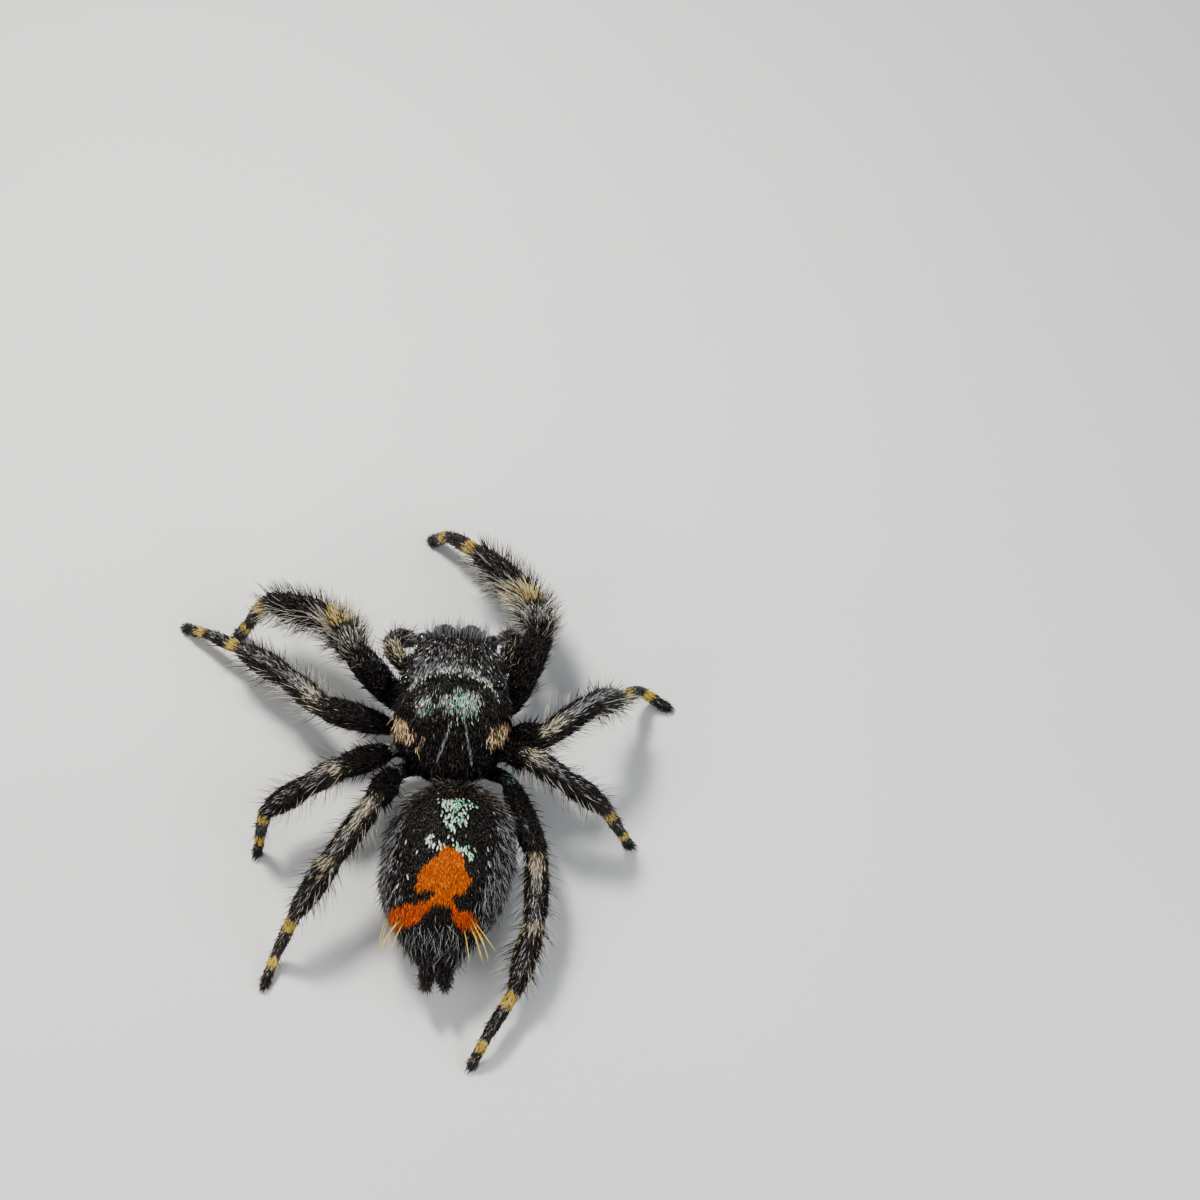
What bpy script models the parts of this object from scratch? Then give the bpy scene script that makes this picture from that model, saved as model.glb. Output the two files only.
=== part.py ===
"""A bold jumping spider at life size, standing still, as a museum model.

The spider faces -Y, its left side is at +X and +Z is up. Everything is modelled in
millimetres. The last step stands the model on the floor, centres it over the origin
and brings it to metres.

A place on the body is given as (left, forward, up), measured from the middle of the
breastplate on the floor. Pieces meet face to face across a thin gap: each one is cut
back by a slightly swollen copy of the piece that it grows from.
"""

import math
import random
from collections import namedtuple

import bmesh
import bpy
import numpy as np
from mathutils import Matrix, Vector
from mathutils.bvhtree import BVHTree

METRES_PER_MM = 0.001
NAME = "bold_jumping_spider"

# The legs are about 0.6 mm thick, so the gap between pieces is thinner than on a big object.
GAP = 0.10
EYE_GAP = 0.04

# Carapace: how far forward and to the left, half width, height of the widest line, top,
# underside, squareness
CARAPACE = (
    (-1.36, 0.0, 0.95, 1.60, 1.98, 1.38, 2.2),
    (-0.90, 0.0, 1.22, 1.62, 2.30, 1.37, 2.3),
    (-0.40, 0.0, 1.38, 1.66, 2.66, 1.37, 2.5),
    (0.10, 0.0, 1.41, 1.70, 2.90, 1.38, 2.8),
    (0.60, 0.0, 1.34, 1.76, 2.97, 1.42, 3.0),
    (1.30, 0.0, 1.20, 1.86, 2.96, 1.54, 3.2),
    (1.95, 0.0, 1.06, 2.04, 2.86, 1.72, 3.4),
    (2.18, 0.0, 0.98, 2.12, 2.76, 1.78, 3.4),
)
# Abdomen: the same values. It swings round towards the right at its front.
ABDOMEN = (
    (-5.70, 0.02, 0.78, 1.12, 1.62, 0.66, 2.0),
    (-5.20, 0.0, 1.02, 1.34, 2.02, 0.60, 2.0),
    (-4.50, -0.04, 1.32, 1.52, 2.44, 0.54, 2.1),
    (-3.70, -0.09, 1.46, 1.62, 2.70, 0.52, 2.1),
    (-2.90, -0.14, 1.46, 1.66, 2.78, 0.54, 2.1),
    (-2.10, -0.19, 1.34, 1.68, 2.69, 0.68, 2.1),
    (-1.48, -0.22, 1.14, 1.68, 2.46, 0.92, 2.0),
)
# The powers that round the front and the rear end, 1 as a ball
CARAPACE_ENDS = (0.45, 0.62)
ABDOMEN_ENDS = (0.62, 0.72)
STERNUM = (
    (-0.78, 0.0, 0.20, 1.00, 1.26, 0.80, 2.4),
    (-0.30, 0.0, 0.40, 1.00, 1.27, 0.72, 2.6),
    (0.35, 0.0, 0.42, 1.00, 1.27, 0.72, 2.6),
    (0.76, 0.0, 0.24, 1.00, 1.26, 0.80, 2.4),
)

# The waist runs into the underside of both halves of the body
WAIST_RADIUS = 0.20
WAIST_HEIGHT = 1.55
WAIST_FRONT = (0.0, -1.05)
WAIST_REAR = (-0.19, -1.95)

# A limb's tube: its corner points, (share of its length, radius), rings, sides and rounding
Tube = namedtuple("Tube", "points radii count fineness bend")

# Eyes: name, left, forward, up, radius
EYES = (
    ("eye_main", 0.31, 2.07, 2.37, 0.27),
    ("eye_front_side", 0.80, 1.90, 2.47, 0.16),
    ("eye_small", 1.04, 1.34, 2.66, 0.075),
    ("eye_rear", 1.07, 0.74, 2.64, 0.15),
)

# Jaws hang below the face, each with a fang
JAW_CENTRE = (0.31, 1.80, 1.30)
JAW_HALF_SIZE = (0.265, 0.27, 0.56)
FANG = ((0.34, 1.78, 0.92), (0.36, 1.86, 0.74), (0.24, 1.84, 0.60))
FANG_RADII = (0.12, 0.09, 0.03)

MAXILLA_CENTRE = (0.25, 1.18, 1.00)
MAXILLA_HALF_SIZE = (0.20, 0.22, 0.27)
LABIUM_CENTRE = (0.0, 1.06, 0.95)
LABIUM_HALF_SIZE = (0.16, 0.13, 0.20)

# Each pedipalp from its root beside the mouth to its drooping tip. The left one is held out.
PALPS = {
    "left": (
        (0.55, 1.20, 1.10), (1.10, 1.50, 1.40), (1.50, 1.88, 1.74),
        (1.62, 2.24, 1.58), (1.48, 2.56, 1.20), (1.22, 2.80, 0.72),
    ),
    "right": (
        (0.55, 1.20, 1.10), (0.92, 1.58, 1.30), (1.16, 2.00, 1.64),
        (1.28, 2.36, 1.52), (1.22, 2.68, 1.20), (1.00, 2.92, 0.72),
    ),
}
PALP_RADII = ((0.0, 0.22), (0.25, 0.20), (0.45, 0.24), (0.62, 0.22), (0.85, 0.25), (1.0, 0.20))

# Spinnerets: left, forward, up of each root, then of each tip
SPINNERET_ROOTS = ((0.17, -5.52, 0.92), (0.15, -5.50, 1.12))
SPINNERET_TIPS = ((0.22, -6.00, 0.78), (0.20, -6.06, 1.06))
SPINNERET_RADII = ((0.0, 0.17), (0.7, 0.14), (1.0, 0.10))

# Legs: femur, patella, tibia, metatarsus and tarsus of each pair
SEGMENTS = {
    1: (2.15, 1.45, 1.70, 1.15, 0.80),
    2: (1.85, 1.42, 1.55, 1.12, 0.80),
    3: (2.00, 1.05, 1.25, 1.00, 0.65),
    4: (2.40, 1.60, 1.62, 1.30, 0.75),
}
COXA_ROOTS = {1: (0.30, 0.62), 2: (0.34, 0.21), 3: (0.34, -0.21), 4: (0.30, -0.62)}
HIPS = {1: (1.25, 0.85), 2: (1.40, 0.30), 3: (1.40, -0.25), 4: (1.30, -0.80)}
HIP_HEIGHT = 0.95
FOOT_HEIGHT = 0.10

# The photographed pose. A heading is 0 forwards, 90 outwards and 180 backwards, and a rise
# is the slope of a segment, both in degrees. The last segment slopes down to the floor.
POSE = {
    (1, "left"): ((66, 31, 71, 93, 91), (57, -21, -12, -66)),
    (1, "right"): ((22, -21, -46, -48, -64), (31, -28, -4, -26)),
    (2, "left"): ((88, 44, 53, 58, 60), (27, -21, -14, -20)),
    (2, "right"): ((138, 50, 38, 35, 108), (54, 3, -50, -46)),
    (3, "left"): ((138, 101, 130, 117, 158), (41, -40, 4, -79)),
    (3, "right"): ((155, 111, 113, 107, 108), (63, -27, -29, -71)),
    (4, "left"): ((171, 144, 144, 138, 162), (48, -19, -29, -58)),
    (4, "right"): ((159, 178, 194, 208, 212), (13, -11, -16, -6)),
}

# Thickness along each length of leg: share of its length, radius
FEMUR_RADII = (
    (0.0, 0.15), (0.14, 0.22), (0.26, 0.23), (0.34, 0.22),
    (0.50, 0.32), (0.72, 0.37), (0.90, 0.34), (1.0, 0.31),
)
TIBIA_RADII = ((0.0, 0.31), (0.20, 0.34), (0.42, 0.31), (0.52, 0.31), (0.68, 0.34), (0.88, 0.29), (1.0, 0.24))
FOOT_RADII = ((0.0, 0.20), (0.30, 0.215), (0.56, 0.185), (0.66, 0.20), (0.88, 0.185), (1.0, 0.15))
STOUTNESS = {1: 1.06, 2: 0.96, 3: 0.92, 4: 0.92}
SIDES = {"left": 1, "right": -1}

# The coat's locks. Each is rooted this deep, this thick at its root, and follows a curve of
# (share of its length along the lie, share of its height), tapering towards its tip.
LOCK_SINK = 0.13
LOCK_THICKNESS = 0.24
SHORT_CURVE = ((0.0, 0.0), (0.50, 0.80), (1.0, 1.0))
LONG_CURVE = ((0.0, 0.0), (0.36, 0.62), (0.72, 0.92), (1.0, 1.0))
LOCK_TAPER = {3: (1.0, 0.74), 4: (1.0, 0.88, 0.54)}

# Locks vary in length and in their place round the body. One that would come too near
# another piece is tried shorter, and none comes nearer to the floor than this.
LENGTH_AT_RANDOM = 0.14
TURN_AT_RANDOM = 7
LOCK_SHARES = (1.0, 0.75, 0.55)
FLOOR_CLEARANCE = 0.06

# A coat is rows of locks. On a limb, the rows are angles round it, 0 on top, and the reach
# is the first and last share of its length. On the body, the rows are places along it,
# forwards, and the reach is the first and last angle round it, 90 on top.
# Lift is height over length, and way is 1 for locks that point rearwards on the body.
Coat = namedtuple("Coat", "rows reach count length width lift way curve", defaults=(1, SHORT_CURVE))
FLANK_ROWS = (-1.95, -2.65, -3.35, -4.05, -4.72)
CHEEK_ROWS = (1.30, 0.50, -0.35)
BODY_COATS = {
    "carapace": (
        Coat((1.62, 1.28), (58, 122), 4, 0.82, 0.44, 0.34, -1, LONG_CURVE),
        Coat(CHEEK_ROWS, (0, 30), 2, 0.60, 0.46, 0.30),
        Coat(CHEEK_ROWS, (150, 180), 2, 0.60, 0.46, 0.30),
    ),
    "abdomen": (
        Coat(FLANK_ROWS, (-30, 46), 3, 0.84, 0.54, 0.38),
        Coat(FLANK_ROWS, (134, 210), 3, 0.84, 0.54, 0.38),
        Coat((-5.12, -5.48), (-10, 190), 6, 0.90, 0.46, 0.42, 1, LONG_CURVE),
    ),
}
LEG_COATS = {
    (1, "femur"): Coat((75, 15, -75), (0.44, 0.92), 3, 0.66, 0.40, 0.34),
    (1, "tibia"): Coat((35, 90, 145, -35, -90, -145), (0.06, 0.88), 4, 0.88, 0.40, 0.47, 1, LONG_CURVE),
}
LATER_LEG_COATS = {
    "femur": Coat((50, -50), (0.50, 0.92), 2, 0.60, 0.38, 0.34),
    "tibia": Coat((55, 105, -55, -105), (0.06, 0.92), 3, 0.70, 0.40, 0.34),
}
KNEE_TUFT = Coat((20, -20), (0.05, 0.36), 3, 0.56, 0.38, 1.45, 1, LONG_CURVE)
PALP_COAT = Coat((85, -85), (0.42, 0.86), 2, 0.50, 0.34, 0.40)

COLOURS = {
    "cuticle": ((0.018, 0.016, 0.015), 0.35, 0.0),
    "abdomen": ((0.030, 0.026, 0.023), 0.55, 0.0),
    "legs": ((0.022, 0.019, 0.017), 0.42, 0.0),
    "jaws": ((0.020, 0.110, 0.080), 0.22, 0.6),
    "eyes": ((0.004, 0.004, 0.005), 0.05, 0.0),
}
MATERIALS = {"leg": "legs", "pedipalp": "legs", "eye": "eyes", "chelicera": "jaws", "abdomen": "abdomen"}


def clear_scene():
    for thing in list(bpy.data.objects):
        bpy.data.objects.remove(thing)


def place(left, forward, up):
    """A place on the body as a point in the model."""
    return Vector((left, -forward, up))


def value_along(stations, where):
    """Every value of the stations at one place, on a smooth curve through them."""
    rows = np.array(stations, float)
    places = rows[:, 0]
    slopes = np.gradient(rows, places, axis=0)
    where = min(max(where, places[0]), places[-1])
    left = int(np.clip(np.searchsorted(places, where) - 1, 0, len(places) - 2))
    span = places[left + 1] - places[left]
    share = (where - places[left]) / span
    start = (2 * share**3 - 3 * share**2 + 1) * rows[left]
    leave = (share**3 - 2 * share**2 + share) * span * slopes[left]
    finish = (3 * share**2 - 2 * share**3) * rows[left + 1]
    arrive = (share**3 - share**2) * span * slopes[left + 1]
    return (start + leave + finish + arrive)[1:]


def power(value, exponent):
    return math.copysign(abs(value) ** exponent, value)


def new_object(name, mesh):
    thing = bpy.data.objects.new(name, mesh)
    bpy.context.scene.collection.objects.link(thing)
    return thing


def face_outwards(bm):
    """Turns the faces of one closed surface so that all of them point out."""
    bmesh.ops.recalc_face_normals(bm, faces=bm.faces)
    if bm.calc_volume(signed=True) < 0:
        bmesh.ops.reverse_faces(bm, faces=bm.faces)


def sphere_form(name, sides, rings, shape):
    """A sphere whose poles lie fore and aft, each vertex of which shape(turn, around) puts in place."""
    bm = bmesh.new()
    bmesh.ops.create_uvsphere(bm, u_segments=sides, v_segments=rings, radius=1.0)
    for vertex in bm.verts:
        turn = math.acos(max(-1.0, min(1.0, vertex.co.z)))
        around = math.atan2(vertex.co.y, vertex.co.x)
        vertex.co = shape(turn, around)
    face_outwards(bm)
    mesh = bpy.data.meshes.new(name)
    bm.to_mesh(mesh)
    bm.free()
    return new_object(name, mesh)


def middle_and_half(stations):
    rear, front = stations[0][0], stations[-1][0]
    return (front + rear) / 2, (front - rear) / 2


def on_body(stations, squareness, turn, around, swell=0.0):
    """A point on a form along the body, whose cross sections follow the stations.

    The turn runs from its front end, 0, to its rear end, and the angle around it from the
    left side, 0, over the top. The squareness rounds the front and the rear end.
    """
    middle, half = middle_and_half(stations)
    end = squareness[0] if turn < math.pi / 2 else squareness[1]
    forward = middle + half * power(math.cos(turn), end)
    ring = abs(math.sin(turn)) ** end
    left, half_width, waist, top, under, box = value_along(stations, forward)
    across = power(math.cos(around), 2 / box)
    upward = power(math.sin(around), 2 / box)
    height = (top - waist if upward > 0 else waist - under) + swell
    reach = forward + swell * math.cos(turn)
    left += (half_width + swell) * across * ring
    return place(left, reach, waist + height * upward * ring)


def turn_at(stations, squareness, forward):
    """The turn at which a form along the body is this far forward."""
    middle, half = middle_and_half(stations)
    end = squareness[0] if forward > middle else squareness[1]
    return math.acos(power((forward - middle) / half, 1 / end))


def body_form(name, stations, squareness, sides, rings, swell=0.0):
    """A closed form along the body."""

    def shape(turn, around):
        return on_body(stations, squareness, turn, around, swell)

    return sphere_form(name, sides, rings, shape)


def egg(name, centre, half_size, sides, rings, squareness=0.85, swell=0.0):
    """A rounded form about a centre, given by half its width, length and height."""

    def shape(turn, around):
        ring = abs(math.sin(turn)) ** squareness
        left = (half_size[0] + swell) * ring * power(math.cos(around), squareness)
        up = (half_size[2] + swell) * ring * power(math.sin(around), squareness)
        forward = (half_size[1] + swell) * power(math.cos(turn), squareness)
        return place(centre[0] + left, centre[1] + forward, centre[2] + up)

    return sphere_form(name, sides, rings, shape)


def smooth_path(points, bend):
    """The points with each inner corner rounded off over the length bend."""
    path = [points[0]]
    for before, corner, after in zip(points, points[1:], points[2:]):
        start = corner + (before - corner).normalized() * bend
        end = corner + (after - corner).normalized() * bend
        path += [start, start * 0.25 + corner * 0.5 + end * 0.25, end]
    return path + [points[-1]]


def evenly(path, count):
    """Points spaced evenly along a path."""
    steps = [(b - a).length for a, b in zip(path, path[1:])]
    reached = np.concatenate([[0], np.cumsum(steps)])
    wanted = np.linspace(0, reached[-1], count)
    rows = np.array(path)
    return [Vector([np.interp(w, reached, rows[:, axis]) for axis in range(3)]) for w in wanted]


def rings_of(tube):
    """The places and the radii of a tube's rings."""
    path = evenly(smooth_path(tube.points, tube.bend), tube.count)
    shares, sizes = zip(*tube.radii)
    return path, [float(np.interp(i / (tube.count - 1), shares, sizes)) for i in range(tube.count)]


def limb(name, tube, swell=0.0):
    """A tube with a domed far end."""
    path, thickness = rings_of(tube)
    forward = (path[-1] - path[-2]).normalized()
    tip, tip_radius = path[-1], thickness[-1]
    for angle in (40, 76):
        path.append(tip + forward * tip_radius * math.sin(math.radians(angle)))
        thickness.append(tip_radius * math.cos(math.radians(angle)))
    curve = bpy.data.curves.new(name, "CURVE")
    curve.dimensions = "3D"
    curve.bevel_depth = 1.0
    curve.bevel_resolution = tube.fineness
    curve.use_fill_caps = True
    spline = curve.splines.new("POLY")
    spline.points.add(len(path) - 1)
    for knot, point, radius in zip(spline.points, path, thickness):
        knot.co = (*point, 1.0)
        knot.radius = radius + swell
    if swell:
        spline.points[-1].co = (*(path[-1] + forward * swell), 1.0)
    return mesh_from_curve(name, curve)


def lock(root, outward, lie, coat, share=1.0):
    """One flat, tapered lock of bristles, rooted under a surface and bending along its lie.

    It is three-sided, with its flat side to the surface and a low ridge outwards. Its place
    is given by its root on the surface, the way out of it and the lie of the coat.
    """
    side = outward.cross(lie).normalized()
    path = [
        root + (lie * along + outward * rise * coat.lift) * coat.length * share
        for along, rise in coat.curve
    ]
    path[0] = root - outward * LOCK_SINK
    bm = bmesh.new()
    rings = []
    for before, point, after, taper in zip(path[:1] + path, path, path[1:], LOCK_TAPER[len(path)]):
        ridge = (after - before).cross(side).normalized() * LOCK_THICKNESS * taper
        if ridge.dot(outward) < 0:
            ridge.negate()
        half = side * coat.width * taper / 2
        base = point - ridge * 0.35
        corners = (base - half, base + half, base + ridge)
        rings.append([bm.verts.new(corner) for corner in corners])
    tip = bm.verts.new(path[-1])
    bm.faces.new(rings[0])
    for near, far in zip(rings, rings[1:]):
        for i in range(3):
            bm.faces.new((near[i], near[i - 1], far[i - 1], far[i]))
    for i in range(3):
        bm.faces.new((rings[-1][i], rings[-1][i - 1], tip))
    face_outwards(bm)
    bmesh.ops.triangulate(bm, faces=bm.faces)
    mesh = bpy.data.meshes.new("lock")
    bm.to_mesh(mesh)
    bm.free()
    return new_object("lock", mesh)


def roots_on_limb(tube, coat):
    """Root, way out and lie of each lock in rows along a limb, the odd rows half a step on."""
    path, thickness = rings_of(tube)
    for row, angle in enumerate(coat.rows):
        for step in range(coat.count):
            share = np.interp(step + 0.5 * (row % 2), (0, coat.count - 0.5), coat.reach)
            where = share * (len(path) - 1)
            before = min(int(where), len(path) - 2)
            centre = path[before].lerp(path[before + 1], where - before)
            radius = float(np.interp(where, range(len(path)), thickness))
            along = (path[before + 1] - path[before]).normalized()
            up = (Vector((0, 0, 1)) - along * along.z).normalized()
            turned = math.radians(angle + random.uniform(-TURN_AT_RANDOM, TURN_AT_RANDOM))
            outward = Matrix.Rotation(turned, 3, along) @ up
            yield centre + outward * radius, outward, along


def roots_on_body(stations, squareness, coat):
    """Root, way out and lie of each lock in rings round a form along the body."""
    step_on = 0.02
    for row, forward in enumerate(coat.rows):
        turn = turn_at(stations, squareness, forward)
        for step in range(coat.count):
            around = np.interp(step + 0.5 * (row % 2), (0, coat.count - 0.5), coat.reach)
            around = math.radians(around + random.uniform(-TURN_AT_RANDOM, TURN_AT_RANDOM))
            root = on_body(stations, squareness, turn, around)
            rearwards = on_body(stations, squareness, turn + step_on, around) - root
            round_it = on_body(stations, squareness, turn, around + step_on) - root
            outward = round_it.cross(rearwards).normalized()
            yield root, outward, rearwards.normalized() * coat.way


def clear_locks(roots, coat, others):
    """The locks of a coat, each as long as keeps it clear of the other pieces."""
    locks = []
    for root, outward, lie in roots:
        varied = random.uniform(1 - LENGTH_AT_RANDOM, 1 + LENGTH_AT_RANDOM)
        for share in LOCK_SHARES:
            made = lock(root, outward, lie, coat, varied * share)
            if is_clear(made, others):
                locks.append(made)
                break
            bpy.data.objects.remove(made)
    return locks


def is_clear(piece, others):
    """Whether a piece keeps the gap to the other pieces and stays above the floor."""
    if min(vertex.co.z for vertex in piece.data.vertices) < FLOOR_CLEARANCE:
        return False
    own = surface_tree(piece)
    for other in others:
        if own.overlap(other):
            return False
        for vertex in piece.data.vertices:
            if other.find_nearest(vertex.co, GAP)[0] is not None:
                return False
    return True


def surface_tree(thing):
    corners = [vertex.co for vertex in thing.data.vertices]
    return BVHTree.FromPolygons(corners, [tuple(face.vertices) for face in thing.data.polygons])


def mesh_from_curve(name, curve):
    """The curve's tube as one closed mesh."""
    guide = new_object(name + "_curve", curve)
    evaluated = guide.evaluated_get(bpy.context.evaluated_depsgraph_get())
    mesh = bpy.data.meshes.new_from_object(evaluated)
    mesh.name = name
    bm = bmesh.new()
    bm.from_mesh(mesh)
    bmesh.ops.remove_doubles(bm, verts=bm.verts, dist=1e-4)
    face_outwards(bm)
    bm.to_mesh(mesh)
    bm.free()
    thing = new_object(name, mesh)
    thing.matrix_world = guide.matrix_world
    bpy.data.objects.remove(guide)
    bpy.data.curves.remove(curve)
    return thing


def combine(base, pieces, operation):
    """One Boolean of the base and a collection of pieces, applied, and the pieces removed."""
    group = bpy.data.collections.new("pieces_of_" + base.name)
    bpy.context.scene.collection.children.link(group)
    for piece in pieces:
        group.objects.link(piece)
        bpy.context.scene.collection.objects.unlink(piece)
    boolean = base.modifiers.new(operation.lower(), "BOOLEAN")
    boolean.operation = operation
    boolean.operand_type = "COLLECTION"
    boolean.collection = group
    boolean.solver = "EXACT"
    bpy.context.view_layer.objects.active = base
    bpy.ops.object.modifier_apply(modifier=boolean.name)
    for piece in pieces:
        bpy.data.objects.remove(piece)
    bpy.data.collections.remove(group)
    keep_largest_surface(base)
    return base


def fuse(base, pieces):
    return combine(base, pieces, "UNION")


def cut(base, cutter):
    cutter.hide_render = True
    cutter.display_type = "WIRE"
    return combine(base, [cutter], "DIFFERENCE")


def keep_largest_surface(thing):
    """Drops every closed surface of the mesh but the one that encloses most."""
    bm = bmesh.new()
    bm.from_mesh(thing.data)
    bmesh.ops.remove_doubles(bm, verts=bm.verts, dist=1e-4)
    bmesh.ops.triangulate(bm, faces=bm.faces)
    unseen = set(bm.faces)
    surfaces = []
    while unseen:
        queue = [unseen.pop()]
        surface = []
        while queue:
            face = queue.pop()
            surface.append(face)
            for edge in face.edges:
                for neighbour in edge.link_faces:
                    if neighbour in unseen:
                        unseen.discard(neighbour)
                        queue.append(neighbour)
        surfaces.append(surface)
    surfaces.sort(key=enclosed, reverse=True)
    scrap = [face for surface in surfaces[1:] for face in surface]
    bmesh.ops.delete(bm, geom=scrap, context="FACES")
    bm.to_mesh(thing.data)
    bm.free()


def enclosed(surface):
    """Six times the volume inside a surface of triangles."""
    corners = [[v.co for v in face.verts] for face in surface]
    return abs(sum(a.dot(b.cross(c)) for a, b, c in corners))


def direction(side, heading, rise):
    """The way that a leg's segment points."""
    turn, slope = math.radians(heading), math.radians(rise)
    flat = math.cos(slope)
    return Vector((side * math.sin(turn) * flat, -math.cos(turn) * flat, math.sin(slope)))


def leg_joints(number, side_name):
    """Hip, knee, patella's end, tibia's end, metatarsus's end and foot of one posed leg."""
    side = SIDES[side_name]
    headings, rises = POSE[(number, side_name)]
    lengths = SEGMENTS[number]
    left, forward = HIPS[number]
    joints = [place(side * left, forward, HIP_HEIGHT)]
    for length, heading, rise in zip(lengths, headings, rises):
        joints.append(joints[-1] + direction(side, heading, rise) * length)
    drop = (joints[-1].z - FOOT_HEIGHT) / lengths[-1]
    rise = -math.degrees(math.asin(max(-0.99, min(0.99, drop))))
    joints.append(joints[-1] + direction(side, headings[-1], rise) * lengths[-1])
    return joints


def stand_on_floor(thing):
    """Flattens whatever would reach below the floor, which leaves a small flat under a foot."""
    for vertex in thing.data.vertices:
        vertex.co.z = max(vertex.co.z, 0.0)


def limb_form(name, tube):
    """The form of a limb as a function of how far it is swollen."""

    def form(swell=0.0):
        return limb(name, tube, swell)

    return form


def eye_form(side_name, eye):
    name, left, forward, up, radius = eye
    sides = 12 if radius > 0.1 else 8

    def form(swell=0.0):
        centre = (SIDES[side_name] * left, forward, up)
        return egg(f"{name}_{side_name}", centre, (radius,) * 3, sides, sides // 2 + 2, 1.0, swell)

    return form


def waist(swell=0.0):
    ends = [place(*WAIST_FRONT, WAIST_HEIGHT), place(*WAIST_REAR, WAIST_HEIGHT)]
    return limb("pedicel", Tube(ends, ((0, WAIST_RADIUS), (1, WAIST_RADIUS)), 4, 3, 0.1), swell)


def carapace(swell=0.0):
    return body_form("carapace", CARAPACE, CARAPACE_ENDS, 24, 18, swell)


def abdomen(swell=0.0):
    return body_form("abdomen", ABDOMEN, ABDOMEN_ENDS, 24, 16, swell)


def sternum(swell=0.0):
    return body_form("sternum", STERNUM, (0.6, 0.6), 12, 8, swell)


def mouthparts(swell=0.0):
    base = egg("mouthparts", LABIUM_CENTRE, LABIUM_HALF_SIZE, 10, 6, 0.9, swell)
    left, forward, up = MAXILLA_CENTRE
    lobes = [
        egg("maxilla", (side * left, forward, up), MAXILLA_HALF_SIZE, 10, 6, 0.9, swell)
        for side in SIDES.values()
    ]
    return fuse(base, lobes)


def jaw_form(side_name):
    side = SIDES[side_name]
    left, forward, up = JAW_CENTRE
    points = [place(side * l, f, u) for l, f, u in FANG]
    fang = Tube(points, tuple(zip((0.0, 0.5, 1.0), FANG_RADII)), 5, 2, 0.08)

    def form(swell=0.0):
        name = "chelicera_" + side_name
        jaw = egg(name, (side * left, forward, up), JAW_HALF_SIZE, 12, 8, 0.8, swell)
        return fuse(jaw, [limb("fang", fang, swell)])

    return form


def palp_tube(side_name):
    points = [place(SIDES[side_name] * l, f, u) for l, f, u in PALPS[side_name]]
    return Tube(points, PALP_RADII, 10, 2, 0.2)


def spinnerets(swell=0.0):
    pieces = []
    for root, tip in zip(SPINNERET_ROOTS, SPINNERET_TIPS):
        for side in SIDES.values():
            ends = [place(side * p[0], p[1], p[2]) for p in (root, tip)]
            pieces.append(limb("spinnerets", Tube(ends, SPINNERET_RADII, 3, 2, 0.05), swell))
    pieces[0].name = "spinnerets"
    return fuse(pieces[0], pieces[1:])


def leg_tubes(number, side_name):
    """The femur with the coxa, the tibia with the patella, and the foot of one leg."""
    joints = leg_joints(number, side_name)
    left, forward = COXA_ROOTS[number]
    root = place(SIDES[side_name] * left, forward, HIP_HEIGHT + 0.03)
    femur_radii, tibia_radii = [
        tuple((share, radius * STOUTNESS[number]) for share, radius in radii)
        for radii in (FEMUR_RADII, TIBIA_RADII)
    ]
    return {
        "femur": Tube([root, *joints[:2]], femur_radii, 11, 3, 0.3),
        "tibia": Tube(joints[1:4], tibia_radii, 10, 3, 0.3),
        "foot": Tube(joints[3:6], FOOT_RADII, 9, 2, 0.2),
    }


def all_forms():
    """Every piece's own form, and the pieces that each one is cut back from."""
    forms = {
        "carapace": carapace,
        "abdomen": abdomen,
        "pedicel": waist,
        "sternum": sternum,
        "mouthparts": mouthparts,
        "spinnerets": spinnerets,
    }
    clear_of = {"carapace": ["pedicel"], "abdomen": ["pedicel"], "spinnerets": ["abdomen"]}
    for side_name in SIDES:
        jaw, palp = "chelicera_" + side_name, "pedipalp_" + side_name
        forms[jaw] = jaw_form(side_name)
        forms[palp] = limb_form(palp, palp_tube(side_name))
        clear_of[jaw] = ["carapace"]
        clear_of[palp] = ["carapace", jaw, "mouthparts", f"leg_1_{side_name}_femur"]
        for eye in EYES:
            forms[f"{eye[0]}_{side_name}"] = eye_form(side_name, eye)
            clear_of["carapace"].append(f"{eye[0]}_{side_name}")
        for number in SEGMENTS:
            leg = f"leg_{number}_{side_name}_"
            for length, tube in leg_tubes(number, side_name).items():
                forms[leg + length] = limb_form(leg + length, tube)
            clear_of[leg + "femur"] = ["sternum"]
            clear_of[leg + "tibia"] = [leg + "femur"]
            clear_of[leg + "foot"] = [leg + "tibia"]
            if number > 1:
                clear_of[leg + "femur"].append(f"leg_{number - 1}_{side_name}_femur")
    return forms, clear_of


def all_coats():
    """The coats of every piece that carries locks, each with the roots of its locks."""
    coats = {
        "carapace": [
            (coat, roots_on_body(CARAPACE, CARAPACE_ENDS, coat)) for coat in BODY_COATS["carapace"]
        ],
        "abdomen": [
            (coat, roots_on_body(ABDOMEN, ABDOMEN_ENDS, coat)) for coat in BODY_COATS["abdomen"]
        ],
    }
    for side_name in SIDES:
        coats["pedipalp_" + side_name] = [
            (PALP_COAT, roots_on_limb(palp_tube(side_name), PALP_COAT))
        ]
        for number in SEGMENTS:
            for length, tube in leg_tubes(number, side_name).items():
                coat = LEG_COATS.get((number, length), LATER_LEG_COATS.get(length))
                worn = [coat] if coat else []
                if (number, length) == (1, "tibia"):
                    worn.append(KNEE_TUFT)
                if worn:
                    name = f"leg_{number}_{side_name}_{length}"
                    coats[name] = [(coat, roots_on_limb(tube, coat)) for coat in worn]
    return coats


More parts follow.
